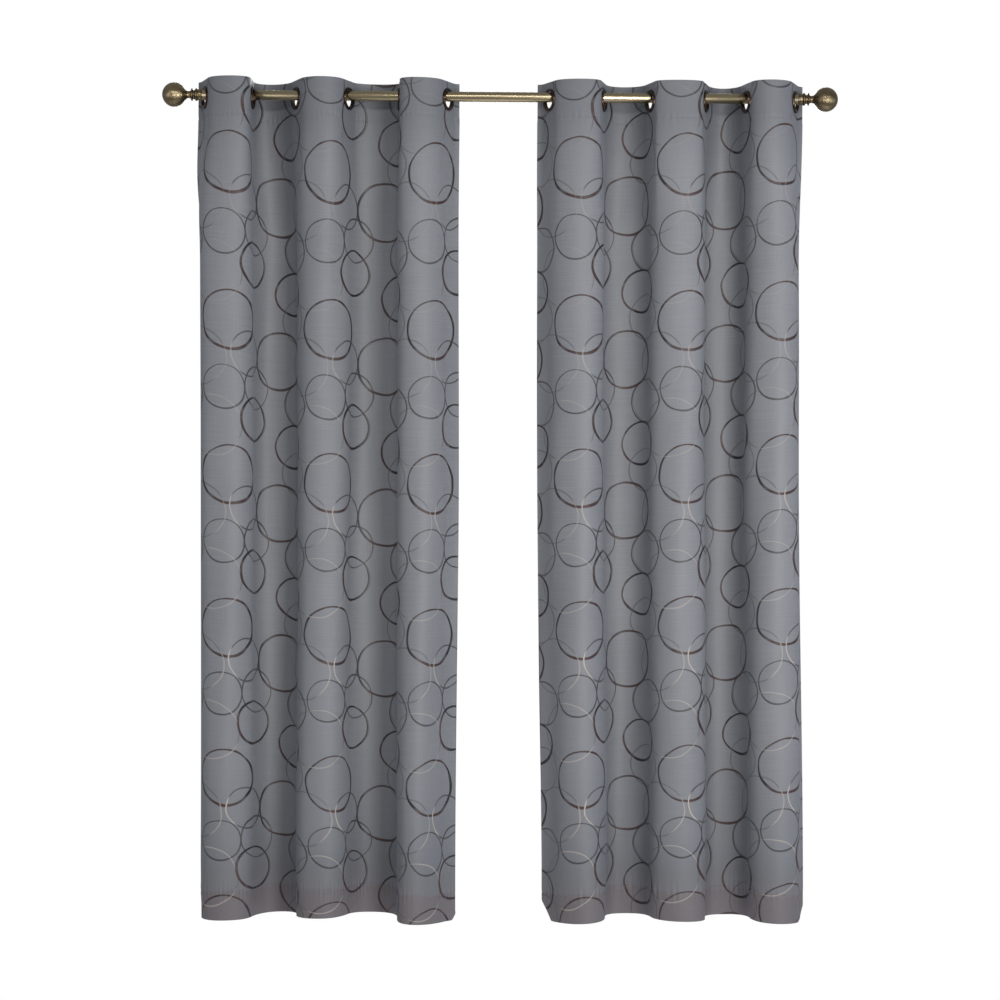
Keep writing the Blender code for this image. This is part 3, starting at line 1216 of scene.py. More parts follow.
@dataclass(frozen=True)
class Repeat:
    """Where the woven repeat falls on one panel, and how the cloth's weight draws it."""

    first_ring_s: float
    first_ring_v: float
    slope: float
    bow: float
    draw: float
    drift: tuple[float, ...]
    middle_s: float = 0.552
    stretch: float = 1.0203
    step: float = 0.035

    def uv(self, s: np.ndarray, v: np.ndarray) -> np.ndarray:
        """The place on the repeat, in metres, of flat places on the cloth.

        Args:
            s: Distances from the left edge.
            v: Distances down from the top edge.

        Returns:
            Places on the repeat.
        """
        across = s - self.middle_s
        down = v - self.first_ring_v - self.slope * across - self.bow * across**2
        walls = EDGE_MARGIN + PITCH * np.arange(1, GROMMETS - 1)
        knots = np.stack([walls - self.step, walls + self.step], axis=1).ravel()
        drift = np.interp(s, knots, np.repeat(self.drift, 2)[1:-1])
        right = (s - self.first_ring_s - drift) / self.stretch
        return np.stack([right, down + self.draw * down * np.abs(down)], axis=-1)


@dataclass(frozen=True)
class Hang:
    """How one side's panel hangs: its folds, its hem and where its pattern falls.

    The dips are how far the hem hangs below the straight cut under each grommet, from left
    to right. The outer flap is in degrees, and the swell is how far the outer edge stands
    out below the heading.
    """

    body: Lie
    hem: Lie
    repeat: Repeat
    corners: tuple[Corner, ...]
    dips: tuple[float, ...]
    seed: int
    outer_flap: float
    swell: float = 0.0


@dataclass
class Drape:
    """The middle of one panel's cloth in the room, as a function of its flat place.

    The folds are set by the grommets down to the heading's seam, hang free from free_at
    down, and turn into the hem's folds from low_from down. Cloth that stands further back
    than back is pressed forwards. The hem dips and flutters over the heights that its fields
    give, and the ripples die out between the two distances of still from a grommet's middle.
    """

    side: Side
    seats: list[Seat]
    top: float
    length: float
    hang: Hang
    width: float = PANEL_WIDTH
    margin: float = EDGE_MARGIN
    pitch: float = PITCH
    chord: float = 0.031
    leading_flap: float = 8.0
    heading: float = 0.095
    hem_depth: float = 0.072
    free_at: float = 0.46
    low_from: float = 0.95
    low_margin: float = 0.05
    dip_height: float = 0.6
    swell_reach: float = 0.11
    lean: float = 0.0052
    back: float = 0.035
    press: float = 3.4
    ripple: float = 0.0011
    pucker: float = 0.00045
    groove: float = 0.0006
    flutter: float = 0.0022
    flutter_height: float = 0.16
    still: tuple[float, float] = (0.030, 0.042)
    plans: dict[str, Plan] = field(default_factory=dict)

    def __post_init__(self) -> None:
        """Work out the plan lines and the ripples."""
        self.lines = [self.margin + i * self.pitch for i in range(GROMMETS)]
        self.grommet_v = self.top - float(np.mean([seat.centre[2] for seat in self.seats]))
        self.plans["heading"] = self._heading_plan()
        self.plans["body"] = self._free_plan(self.hang.body)
        self.plans["hem"] = self._free_plan(self.hang.hem)
        chance = np.random.default_rng(self.hang.seed)
        self.waves = [
            (chance.uniform(28.0, 75.0), chance.uniform(2.0, 8.0), chance.uniform(0, 2 * math.pi))
            for _ in range(6)
        ]
        self.gathers = [
            (chance.uniform(330.0, 560.0), chance.uniform(0, 2 * math.pi), chance.uniform(4.0, 9.0))
            for _ in range(3)
        ]

    def _heading_plan(self) -> Plan:
        """The plan at the grommets: flat at each one, with a bend between.

        Returns:
            The plan.
        """
        parts = [self._flap(self.seats[0], -1)[::-1]]
        for near, far in zip(self.seats, self.seats[1:]):
            parts.append(self._bend(near, far)[1:])
        parts.append(self._flap(self.seats[-1], 1)[1:])
        return Plan(np.concatenate(parts), self.width)

    def _bend(self, near: Seat, far: Seat) -> np.ndarray:
        """One fold between two grommets, whose cloth is one pitch long.

        Args:
            near: The grommet on the left.
            far: The grommet on the right.

        Returns:
            Close points along the fold.
        """
        start, end = near.centre[:2], far.centre[:2]
        first, last = start + self.chord * near.along, end - self.chord * far.along
        t = np.linspace(0.0, 1.0, 161)[:, None]
        short, long = 0.0, self.pitch
        for _ in range(36):
            pull = (short + long) / 2
            one, two = first + pull * near.along, last - pull * far.along
            curve = (1 - t) ** 3 * first + 3 * (1 - t) ** 2 * t * one
            curve = curve + 3 * (1 - t) * t**2 * two + t**3 * last
            fold = np.vstack([[start], curve, [end]])
            if np.linalg.norm(np.diff(fold, axis=0), axis=1).sum() < self.pitch:
                short = pull
            else:
                long = pull
        return fold

    def _flap(self, seat: Seat, outward: int) -> np.ndarray:
        """The cloth from an end grommet to the panel's edge.

        Args:
            seat: The end grommet.
            outward: -1 for the left edge and 1 for the right edge.

        Returns:
            Close points from the grommet's middle to the edge.
        """
        out = seat.along * outward
        start = seat.centre[:2] + self.chord * out
        run = self.margin - self.chord
        turn = math.radians(self.hang.outer_flap if seat.number == 1 else self.leading_flap)
        last = np.array((outward * math.cos(turn), math.sin(turn)))
        end = start + run * unit(out + last)
        t = np.linspace(0.0, 1.0, 25)[:, None]
        one, two = start + run / 3 * out, end - run / 3 * last
        curve = (1 - t) ** 3 * start + 3 * (1 - t) ** 2 * t * one
        curve = curve + 3 * (1 - t) * t**2 * two + t**3 * end
        return np.vstack([[seat.centre[:2]], curve])

    def _free_plan(self, lie: Lie) -> Plan:
        """The plan where the cloth hangs free: folds that bend evenly between their walls.

        Args:
            lie: How the folds stand.

        Returns:
            The plan, in line with the grommets.
        """
        order = self.side.order
        signs = [-1.0 if i % 2 == 0 else 1.0 for i in range(GROMMETS)]
        walls = [sign * math.radians(lie.angles[n - 1]) for sign, n in zip(signs, order)]
        at = [seat.centre[0] + lie.shifts[seat.number - 1] * self.side.sign for seat in self.seats]
        edges = [lie.outer_edge, lie.leading_edge]
        first, last = edges if self.side is Side.LEFT else edges[::-1]
        headings = [self._even(signs[0] * math.radians(first), walls[0], self.margin)]
        for i in range(GROMMETS - 1):
            headings.append(self._fitted(walls[i], walls[i + 1], at[i + 1] - at[i]))
        headings.append(self._even(walls[-1], signs[-1] * math.radians(last), self.margin))
        runs = [self.margin] + [self.pitch] * (GROMMETS - 1) + [self.margin]
        points = [np.zeros(2)]
        for angle, run in zip(headings, runs):
            step = run / len(angle)
            moves = np.stack([np.cos(angle), np.sin(angle)], axis=1) * step
            points.extend(points[-1] + np.cumsum(moves, axis=0))
        line = np.array(points)
        plan = Plan(line, self.width)
        ends = plan.place(np.array([self.lines[0], self.lines[-1]]))
        share = (plan.at - self.lines[0]) / (self.lines[-1] - self.lines[0])
        line[:, 0] += at[0] - ends[0, 0]
        line[:, 1] -= ends[0, 1] + share * (ends[1, 1] - ends[0, 1])
        return Plan(line, self.width)

    @staticmethod
    def _even(start: float, end: float, run: float) -> np.ndarray:
        """Headings that change evenly over a run, one for each half millimetre."""
        return np.linspace(start, end, int(run / 0.0005))

    def _fitted(self, start: float, end: float, span: float) -> np.ndarray:
        """Headings over one fold, made steeper or flatter until it spans its grommets.

        Args:
            start: The heading at the left wall.
            end: The heading at the right wall.
            span: The distance to cover along the rod.

        Returns:
            One heading for each half millimetre.
        """
        even = self._even(start, end, self.pitch)
        bend = math.copysign(1.0, start) * np.sin(np.linspace(0.0, 2 * math.pi, len(even)))
        low, high = -1.0, 1.0
        for _ in range(30):
            middle = (low + high) / 2
            if np.cos(even + middle * bend).mean() * self.pitch > span:
                low = middle
            else:
                high = middle
        return even + low * bend

    def _hanging(self, s: np.ndarray, v: np.ndarray) -> np.ndarray:
        """A point of the cloth before its ripples and curled corners.

        Args:
            s: Distances from the left edge.
            v: Distances down from the top edge.

        Returns:
            Points in the room.
        """
        free = smooth(v, self.heading, self.free_at)[..., None]
        low = smooth(v, self.low_from, self.length - self.low_margin)[..., None]
        heading, body, hem = (self.plans[k].place(s) for k in ("heading", "body", "hem"))
        plan = heading * (1 - free) + (body * (1 - low) + hem * low) * free
        behind = np.maximum(plan[..., 1] - self.back, 0.0)
        plan[..., 1] -= self.press * free[..., 0] * behind**2
        plan[..., 0] += self.lean * v * free[..., 0]
        outer = s if self.side is Side.LEFT else self.width - s
        bulge = 4 * free[..., 0] * (1 - free[..., 0]) * np.exp(-((outer / self.swell_reach) ** 2))
        plan[..., 0] += self.side.sign * self.hang.swell * bulge
        dip = np.interp(s, self.lines, self.hang.dips)
        z = self.top - v - dip * smooth(v, self.length - self.dip_height, self.length)
        return np.concatenate([plan, z[..., None]], axis=-1)

    def _rippled(self, s: np.ndarray, v: np.ndarray) -> np.ndarray:
        """A point of the cloth with its ripples and the puckers at its seams.

        Args:
            s: Distances from the left edge.
            v: Distances down from the top edge.

        Returns:
            Points in the room.
        """
        point = self._hanging(s, v)
        ahead = self._hanging(s + 0.001, v)
        along = unit((ahead - point)[..., :2])
        normal = np.stack([along[..., 1], -along[..., 0]], axis=-1)
        ripple = sum(np.sin(a * s + b * v + c) for a, b, c in self.waves) / 2
        ripple = ripple * self.ripple * smooth(v, 0.11, 0.40)
        hem_seam = self.length - self.hem_depth
        seams = ((self.heading - 0.003, 0.010, 1.0), (hem_seam + 0.003, 0.022, 1.5))
        for seam, reach, scale in seams:
            fade = np.exp(-(((v - seam) / reach) ** 2)) * scale * self.pucker
            wave = sum(np.sin(a * s + b * np.sin(9.0 * s) + c) for a, b, c in self.gathers) / 1.7
            ripple = ripple + fade * wave
            ripple = ripple - self.groove * np.exp(-(((v - seam) / 0.0035) ** 2))
        for line in self.lines:
            far = np.hypot(s - line, v - self.grommet_v)
            ripple = ripple * smooth(far, *self.still)
        flutter = self.flutter * np.sin(34.0 * s + self.hang.seed)
        flutter = flutter * smooth(v, self.length - self.flutter_height, self.length)
        point[..., :2] += normal * (ripple + flutter)[..., None]
        return point

    def _tangents(self, s: np.ndarray, v: np.ndarray, curled: bool) -> tuple[np.ndarray, ...]:
        """Directions along the cloth, down it and out of its face.

        Args:
            s: Distances from the left edge.
            v: Distances down from the top edge.
            curled: Whether the curled corners count.

        Returns:
            Three sets of unit vectors.
        """
        step = 0.0012
        source = self.point if curled else self._rippled
        along = unit(source(s + step, v) - source(s - step, v))
        down = unit(source(s, v + step) - source(s, v - step))
        normal = unit(np.cross(down, along))
        return along, down, normal

    def point(self, s: np.ndarray, v: np.ndarray) -> np.ndarray:
        """The middle of the cloth at flat places.

        Args:
            s: Distances from the left edge.
            v: Distances down from the top edge.

        Returns:
            Points in the room.
        """
        result = self._rippled(s, v)
        for corner in self.hang.corners:
            edge = self.width if corner.at_right else 0.0
            way = 1.0 if corner.at_right else -1.0
            aim = unit(np.array((way * corner.up, corner.across)))
            line = aim @ np.array((edge - way * corner.across, self.length))
            beyond = s * aim[0] + v * aim[1] - line
            bent = beyond > 0
            if not bent.any():
                continue
            d = beyond[bent]
            near_s, near_v = s[bent] - d * aim[0], v[bent] - d * aim[1]
            along, down, normal = self._tangents(near_s, near_v, False)
            turn = np.minimum(d / corner.curl, 2.5)
            spare = (d - turn * corner.curl)[:, None]
            aimed = aim[0] * along + aim[1] * down
            cos, sin = np.cos(turn)[:, None], np.sin(turn)[:, None]
            result[bent] = (
                self._rippled(near_s, near_v)
                + aimed * (corner.curl * sin + spare * cos)
                - normal * (corner.curl * (1 - cos) + spare * sin)
            )
        return result

    def surface(self, s: np.ndarray, v: np.ndarray) -> tuple[np.ndarray, ...]:
        """The cloth at flat places.

        Args:
            s: Distances from the left edge.
            v: Distances down from the top edge.

        Returns:
            Points, and the directions along the cloth, down it and out of its face.
        """
        return (self.point(s, v), *self._tangents(s, v, True))


# ---------------------------------------------------------------------------------------
# Sub-assemblies


@dataclass
class Panel:
    """One panel's cloth: five folded strips, their stitching and two side hems."""

    side: Side
    drape: Drape
    finishes: Finishes
    stitches: StitchRig
    thickness: float = 0.0009
    turn_radius: float = 0.00058
    hole: float = 0.0245
    side_hem: float = 0.025
    # Painted shade: the doubled heading and hem are darkened as if less light came through from behind,
    # and the cloth darkens towards the hem as if less light reached it.
    heading_painted_shade: float = 0.5
    heading_shade_fade: tuple[float, float] = (0.05, 0.27)
    hem_painted_shade: float = 0.26
    painted_shade_to_hem_at: tuple[float, ...] = (1.20, 1.63, 1.81, 1.93, 2.02)
    painted_shade_to_hem: tuple[float, ...] = (0.0, 0.13, 0.22, 0.42, 0.74)
    pitch: float = 0.0042
    stitch_length: float = 0.0017
    thread: float = 0.00028
    fine_top: float = 0.105
    fine_bottom: float = 0.10
    across_steps: int = 48
    flap_steps: int = 12

    def _columns(self) -> np.ndarray:
        """Places s of the grid's columns, with one on each grommet's line.

        Returns:
            The places, from left to right.
        """
        d = self.drape
        left = np.linspace(0.0, d.lines[0], self.flap_steps + 1)[:-1]
        right = np.linspace(d.lines[-1], d.width, self.flap_steps + 1)
        middle = np.linspace(d.lines[0], d.lines[-1], self.across_steps * (GROMMETS - 1) + 1)[:-1]
        return np.concatenate([left, middle, right])

    def _rows(self) -> dict[str, np.ndarray]:
        """The grid's rows, from the heading band's lower edge over the top and up the hem.

        Returns:
            For each row its place v, the angle through which the cloth has turned, and its
            place along the cloth.
        """
        d = self.drape
        upper = np.linspace(0.0, self.fine_top, 36)
        body = np.linspace(self.fine_top, d.length - self.fine_bottom, 185)[1:]
        lower = np.linspace(d.length - self.fine_bottom, d.length, 26)[1:]
        front = np.concatenate([upper, body, lower])
        band = np.append(upper[upper < d.heading - 0.001], d.heading)[::-1]
        hem = np.append(lower[lower > d.length - d.hem_depth + 0.001], d.length - d.hem_depth)
        hem = np.sort(hem)[::-1]
        turn = np.linspace(math.pi, 0.0, 7)[1:-1]
        fold = math.pi * self.turn_radius
        parts = (
            (band, math.pi, -band - fold),
            (0.0, turn, -fold * turn / math.pi),
            (front, 0.0, front),
            (d.length, -turn[::-1], d.length + fold * turn[::-1] / math.pi),
            (hem, -math.pi, 2 * d.length + fold - hem),
        )
        rows = zip(*(np.broadcast_arrays(*part) for part in parts))
        return dict(zip(("v", "angle", "along"), (np.concatenate(row) for row in rows)))

    def _grid(self) -> tuple[np.ndarray, ...]:
        """The whole folded sheet.

        Returns:
            Points, face directions, places on the repeat, the painted shade of each and its
            flat s, row by row, then which quads are kept round the holes.
        """
        rows, columns = self._rows(), self._columns()
        s, v = np.meshgrid(columns, rows["v"])
        angle = np.repeat(rows["angle"][:, None], len(columns), axis=1)
        along = np.repeat(rows["along"][:, None], len(columns), axis=1)
        single = (np.abs(angle) < 1e-9) | (np.abs(angle) > math.pi - 1e-9)
        keep = np.ones((len(rows["v"]) - 1, len(columns) - 1), bool)
        for line in self.drape.lines:
            ds, dv = s - line, v - self.drape.grommet_v
            middle_s = (ds[:-1, :-1] + ds[1:, 1:]) / 2
            middle_v = (dv[:-1, :-1] + dv[1:, 1:]) / 2
            inside = np.hypot(middle_s, middle_v) < self.hole
            inside &= single[:-1, :-1] & single[1:, 1:]
            keep &= ~inside
            touched = np.zeros(s.shape, bool)
            outside = np.zeros(s.shape, bool)
            for i in (0, 1):
                for j in (0, 1):
                    window = (slice(i, i + inside.shape[0]), slice(j, j + inside.shape[1]))
                    touched[window] |= inside
                    outside[window] |= ~inside
            edge = touched & outside
            far = np.hypot(ds, dv)
            scale = np.where(edge, self.hole / np.maximum(far, 1e-9), 1.0)
            shift_v = dv * scale - dv
            s = line + ds * scale
            v = v + shift_v
            along = along + np.where(np.abs(angle) > 1.0, -shift_v, shift_v)
        point, _, down, normal = self.drape.surface(s, v)
        cos, sin = np.cos(angle)[..., None], np.sin(angle)[..., None]
        radius = self.turn_radius
        middle = point - normal * radius * (1 - cos) - down * radius * sin
        face = unit(normal * cos - down * sin)
        uv = self.drape.hang.repeat.uv(s, along)
        hem_seam = self.drape.length - self.drape.hem_depth
        # Painted shade: darker in the doubled heading band and fading below it, darker towards the hem,
        # and darker again in the doubled hem.
        dimmed = self.heading_painted_shade * (1.0 - smooth(v, *self.heading_shade_fade))
        dimmed += np.interp(v, self.painted_shade_to_hem_at, self.painted_shade_to_hem)
        dimmed += self.hem_painted_shade * smooth(v, hem_seam - 0.004, hem_seam + 0.004)
        return middle, face, uv, dimmed, s, keep

    def _strip_shells(self) -> dict[int, Shell]:
        """Each strip's share of the folded sheet, by strip number.

        Returns:
            A shell for each strip.
        """
        *layers, keep = self._grid()
        s = layers[-1]
        flat = [layer.reshape(s.size, -1).squeeze() for layer in layers]
        count = s.shape[1]
        quads = quads_over(np.arange(s.size).reshape(s.shape))
        shells = {}
        for i in range(GROMMETS - 1):
            first = 0 if i == 0 else self.flap_steps + i * self.across_steps
            last = count - 1 if i == GROMMETS - 2 else self.flap_steps + (i + 1) * self.across_steps
            mine = quads[:, first:last][keep[:, first:last]]
            shells[self._strip_number(i)] = Shell(*flat, mine)
        return shells

    def _strip_number(self, i: int) -> int:
        """The number of the i-th strip from the left."""
        order = self.side.order
        return min(order[i], order[i + 1])

    def _bend_with(self, piece: bpy.types.Object, number: int) -> None:
        """Bake a piece of a strip's place into its mesh.

        Args:
            piece: The piece.
            number: The strip's number.
        """
        near, far = (self._seat(n) for n in (number, number + 1))
        inward = unit(far.centre - near.centre) * 0.008
        start, end = near.centre + inward, far.centre - inward
        bodies = [f"{self.side.value}_grommet_{n}" for n in (number, number + 1)]
        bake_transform(piece)

    def _seat(self, number: int) -> Seat:
        """The seat of a grommet by its number."""
        return next(seat for seat in self.drape.seats if seat.number == number)

    def _lines_between(self, start: float, end: float) -> list[np.ndarray]:
        """The seams that cross a strip, as points just proud of the cloth.

        Args:
            start: Where the strip begins, as s.
            end: Where it ends.

        Returns:
            One array of points for each line of stitches.
        """
        d = self.drape
        s = np.linspace(start + 0.002, end - 0.002, 70)
        seams = [d.heading - 0.003, d.length - d.hem_depth + 0.003]
        back = 2 * self.turn_radius + self.thickness / 2
        lines = []
        for seam in seams:
            point, _, _, normal = d.surface(s, np.full_like(s, seam))
            lines.append(point + normal * self.thickness / 2)
            lines.append(point - normal * back)
        return lines

    def _stitched(self, name: str, lines: list[np.ndarray], seed: int) -> bpy.types.Object:
        """Lay stitches along lines of points.

        Args:
            name: The piece's name.
            lines: Points along each line.
            seed: Sets how the stitches wander.

        Returns:
            The stitches.
        """
        points = np.concatenate(lines)
        edges, first = [], 0
        for line in lines:
            edges.extend((first + i, first + i + 1) for i in range(len(line) - 1))
            first += len(line)
        mesh = bpy.data.meshes.new(f"{name}_lines")
        mesh.from_pydata(points.tolist(), edges, [])
        values = {
            "Pitch": self.pitch,
            "Stitch length": self.stitch_length,
            "Thread radius": self.thread,
            "Wander": 0.07,
            "Seed": seed,
            "Thread": self.finishes.thread,
        }
        return self.stitches.grow(name, mesh, values)

    def _side_hem(self, edge: float, inward: float, name: str) -> bpy.types.Object:
        """The turned-in side hem behind one edge of the panel.

        Args:
            edge: The edge's place s.
            inward: 1 where the panel lies to the right of the edge, or -1.
            name: The piece's name.

        Returns:
            The hem, wrapped round the cloth's raw edge.
        """
        d = self.drape
        rows = np.linspace(d.heading + 0.0006, d.length - d.hem_depth - 0.0006, 190)
        flat = np.linspace(self.side_hem, 0.0, 8)
        turn = np.linspace(math.pi, 0.0, 7)[1:]
        depth = np.concatenate([flat, np.zeros(len(turn))])
        angle = np.concatenate([np.full(len(flat), math.pi), turn])
        s, v = np.meshgrid(edge + inward * depth, rows)
        point, along, _, normal = d.surface(s, v)
        cos, sin = np.cos(angle)[None, :, None], np.sin(angle)[None, :, None]
        out = -along * inward
        radius = self.turn_radius
        middle = point - normal * radius * (1 - cos) + out * radius * sin
        face = unit(normal * cos + out * sin)
        uv = self.drape.hang.repeat.uv(edge - inward * depth[None, :] - 0 * v, v)
        quads = quads_over(np.arange(s.size).reshape(s.shape))
        if inward < 0:
            quads = quads[..., ::-1]
        layers = (middle.reshape(-1, 3), face.reshape(-1, 3), uv.reshape(-1, 2))
        layers = (*layers, np.zeros(s.size), s.ravel())
        shell = Shell(*layers, quads.reshape(-1, 4))
        return self._sewn(name, shell, [])

    def _sewn(self, name: str, shell: Shell, cut_at: list[float]) -> bpy.types.Object:
        """Make a piece of cloth, woven in front and plain behind.

        Args:
            name: The piece's name.
            shell: Its shape.
            cut_at: Places s along which it goes on in the next piece.

        Returns:
            The piece.
        """
        mesh = shell.build(name, self.thickness, cut_at)
        mesh.materials.append(self.finishes.face)
        mesh.materials.append(self.finishes.reverse)
        return add_piece(name, mesh)

    def _side_hem_lines(self, edge: float, inward: float) -> list[np.ndarray]:
        """The line of stitches that holds a side hem, on the face and on the back.

        Args:
            edge: The edge's place s.
            inward: 1 where the panel lies to the right of the edge, or -1.

        Returns:
            Points along both lines.
        """
        d = self.drape
        v = np.linspace(d.heading + 0.004, d.length - d.hem_depth - 0.004, 260)
        s = np.full_like(v, edge + inward * (self.side_hem - 0.003))
        point, _, _, normal = d.surface(s, v)
        back = 2 * self.turn_radius + self.thickness / 2
        return [point + normal * self.thickness / 2, point - normal * back]

    def build(self) -> None:
        """Build the strips, the side hems and the stitching, and fasten the side hems and their
        stitching to the end grommets.
        """
        side, d = self.side.value, self.drape
        length = d.length + d.heading + d.hem_depth
        edges = {1: 0.0 if self.side is Side.LEFT else d.width}
        edges[GROMMETS] = d.width - edges[1]
        with_strip: dict[int, list[bpy.types.Object]] = {n: [] for n in range(1, GROMMETS)}
        for number, edge in edges.items():
            inward = 1.0 if edge == 0.0 else -1.0
            label = "outer" if number == 1 else "leading"
            hem = self._side_hem(edge, inward, f"{side}_side_hem_{label}")
            lines = self._side_hem_lines(edge, inward)
            seam = self._stitched(f"{side}_side_stitching_{label}", lines, number)
            for piece in (hem, seam):
                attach(piece, f"{side}_grommet_{number}")
            with_strip[min(number, GROMMETS - 1)] += [hem, seam]
            LOG.info("%s: side hem and stitching, %s edge", side, label)
        shells = self._strip_shells()
        for i in range(GROMMETS - 1):
            number = self._strip_number(i)
            strip = self._sewn(f"{side}_panel_strip_{number}", shells[number], d.lines)
            start = 0.0 if i == 0 else d.lines[i]
            end = d.width if i == GROMMETS - 2 else d.lines[i + 1]
            lines = self._lines_between(start, end)
            seam = self._stitched(f"{side}_stitching_{number}", lines, 20 + number)
            for piece in (strip, seam):
                self._bend_with(piece, number)
            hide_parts(f"{side}_panel_cloth_{number}", f"{side}_heading_band_{number}")
            end - start
            [f"{side}_grommet_{n}_rim" for n in (number, number + 1)]
            LOG.info("%s: strip %d, %d faces", side, number, len(strip.data.polygons))


@dataclass
class Grommet:
    """A pressed two-part grommet: a domed rim with its barrel, and a washer behind."""

    side: Side
    seat: Seat
    finishes: Finishes
    rims: RimRig
    radius: float = 0.0300
    hole: float = 0.0205
    barrel: float = 0.0214
    base: float = 0.0009
    crest: float = 0.0035
    wall: float = 0.0009
    washer_top: float = -0.0021
    washer_base: float = -0.0036
    steps: int = 96

    def _rim_section(self) -> Outline:
        """The rim's cross-section as (radius, height).

        Returns:
            The outline, closed.
        """
        middle = (self.hole + self.radius) / 2
        outline = [
            (middle, self.crest),
            (self.radius - 0.0026, self.crest - 0.0003),
            (self.radius - 0.0009, self.crest - 0.0012),
            (self.radius, self.base + 0.0003),
            (self.radius - 0.0002, self.base),
            (self.radius - self.wall, self.base),
            (self.radius - 0.0016 - self.wall / 2, self.crest - 0.0011 - self.wall),
            (middle, self.crest - self.wall),
            (self.barrel, self.crest - 0.0004 - self.wall),
            (self.barrel, self.washer_base),
            (self.hole, self.washer_base),
            (self.hole, self.base + 0.0012),
            (self.hole + 0.0009, self.crest - 0.0007),
            (self.hole + 0.0022, self.crest - 0.0001),
            (middle, self.crest),
        ]
        return eased(outline, 0.0006)[:-1]

    def _washer_section(self) -> Outline:
        """The washer's cross-section, with the shallow groove pressed into it.

        Returns:
            The outline, closed.
        """
        inner = self.barrel + 0.0003
        groove = (inner + self.radius) / 2
        outline = [
            (groove, self.washer_top),
            (self.radius - 0.0002, self.washer_top),
            (self.radius, self.washer_top - 0.0006),
            (self.radius - 0.0006, self.washer_base),
            (groove + 0.0014, self.washer_base),
            (groove + 0.0008, self.washer_base + 0.0004),
            (groove - 0.0008, self.washer_base + 0.0004),
            (groove - 0.0014, self.washer_base),
            (inner, self.washer_base),
            (inner, self.washer_top),
            (groove, self.washer_top),
        ]
        return eased(outline, 0.0003)[:-1]

    def _ring(self, name: str, section: Outline) -> bpy.types.Object:
        """Sweep a section into a ring at the seat.

        Args:
            name: The ring's name.
            section: Its cross-section.

        Returns:
            The ring.
        """
        count = len(section)
        middle = (self.hole + self.radius) / 2
        seed = bpy.data.meshes.new(f"{name}_section")
        edges = [(i, (i + 1) % count) for i in range(count)]
        seed.from_pydata([(h, r - middle, 0.0) for r, h in section], edges, [])
        values = {"Ring radius": middle, "Steps": self.steps, "Metal": self.finishes.bronze}
        piece = self.rims.grow(name, seed, values)
        self._set_in_place(piece.data)
        return piece

    def _set_in_place(self, mesh: bpy.types.Mesh) -> None:
        """Carry a ring made about +Z to the seat, with its faces outwards.

        Args:
            mesh: The ring's mesh.
        """
        points = np.zeros(len(mesh.vertices) * 3)
        mesh.vertices.foreach_get("co", points)
        points = points.reshape(-1, 3)
        lathe = Lathe(self.seat.centre, self.seat.normal)
        across, third = lathe.frame()
        placed = (
            self.seat.centre
            + points[:, :1] * across
            + points[:, 1:2] * third
            + points[:, 2:] * self.seat.normal
        )
        mesh.vertices.foreach_set("co", placed.ravel())
        mesh.update()

    def build(self) -> None:
        """Build both halves and let them ride on the grommet's body."""
        side, number = self.side.value, self.seat.number
        body = f"{side}_grommet_{number}"
        parts = {"rim": ("front", self._rim_section()), "washer": ("back", self._washer_section())}
        for label, (node, section) in parts.items():
            piece = self._ring(f"{body}_{label}", section)
            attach(piece, body)
            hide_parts(f"{body}_{node}")
        LOG.info("%s: grommet %d", side, number)


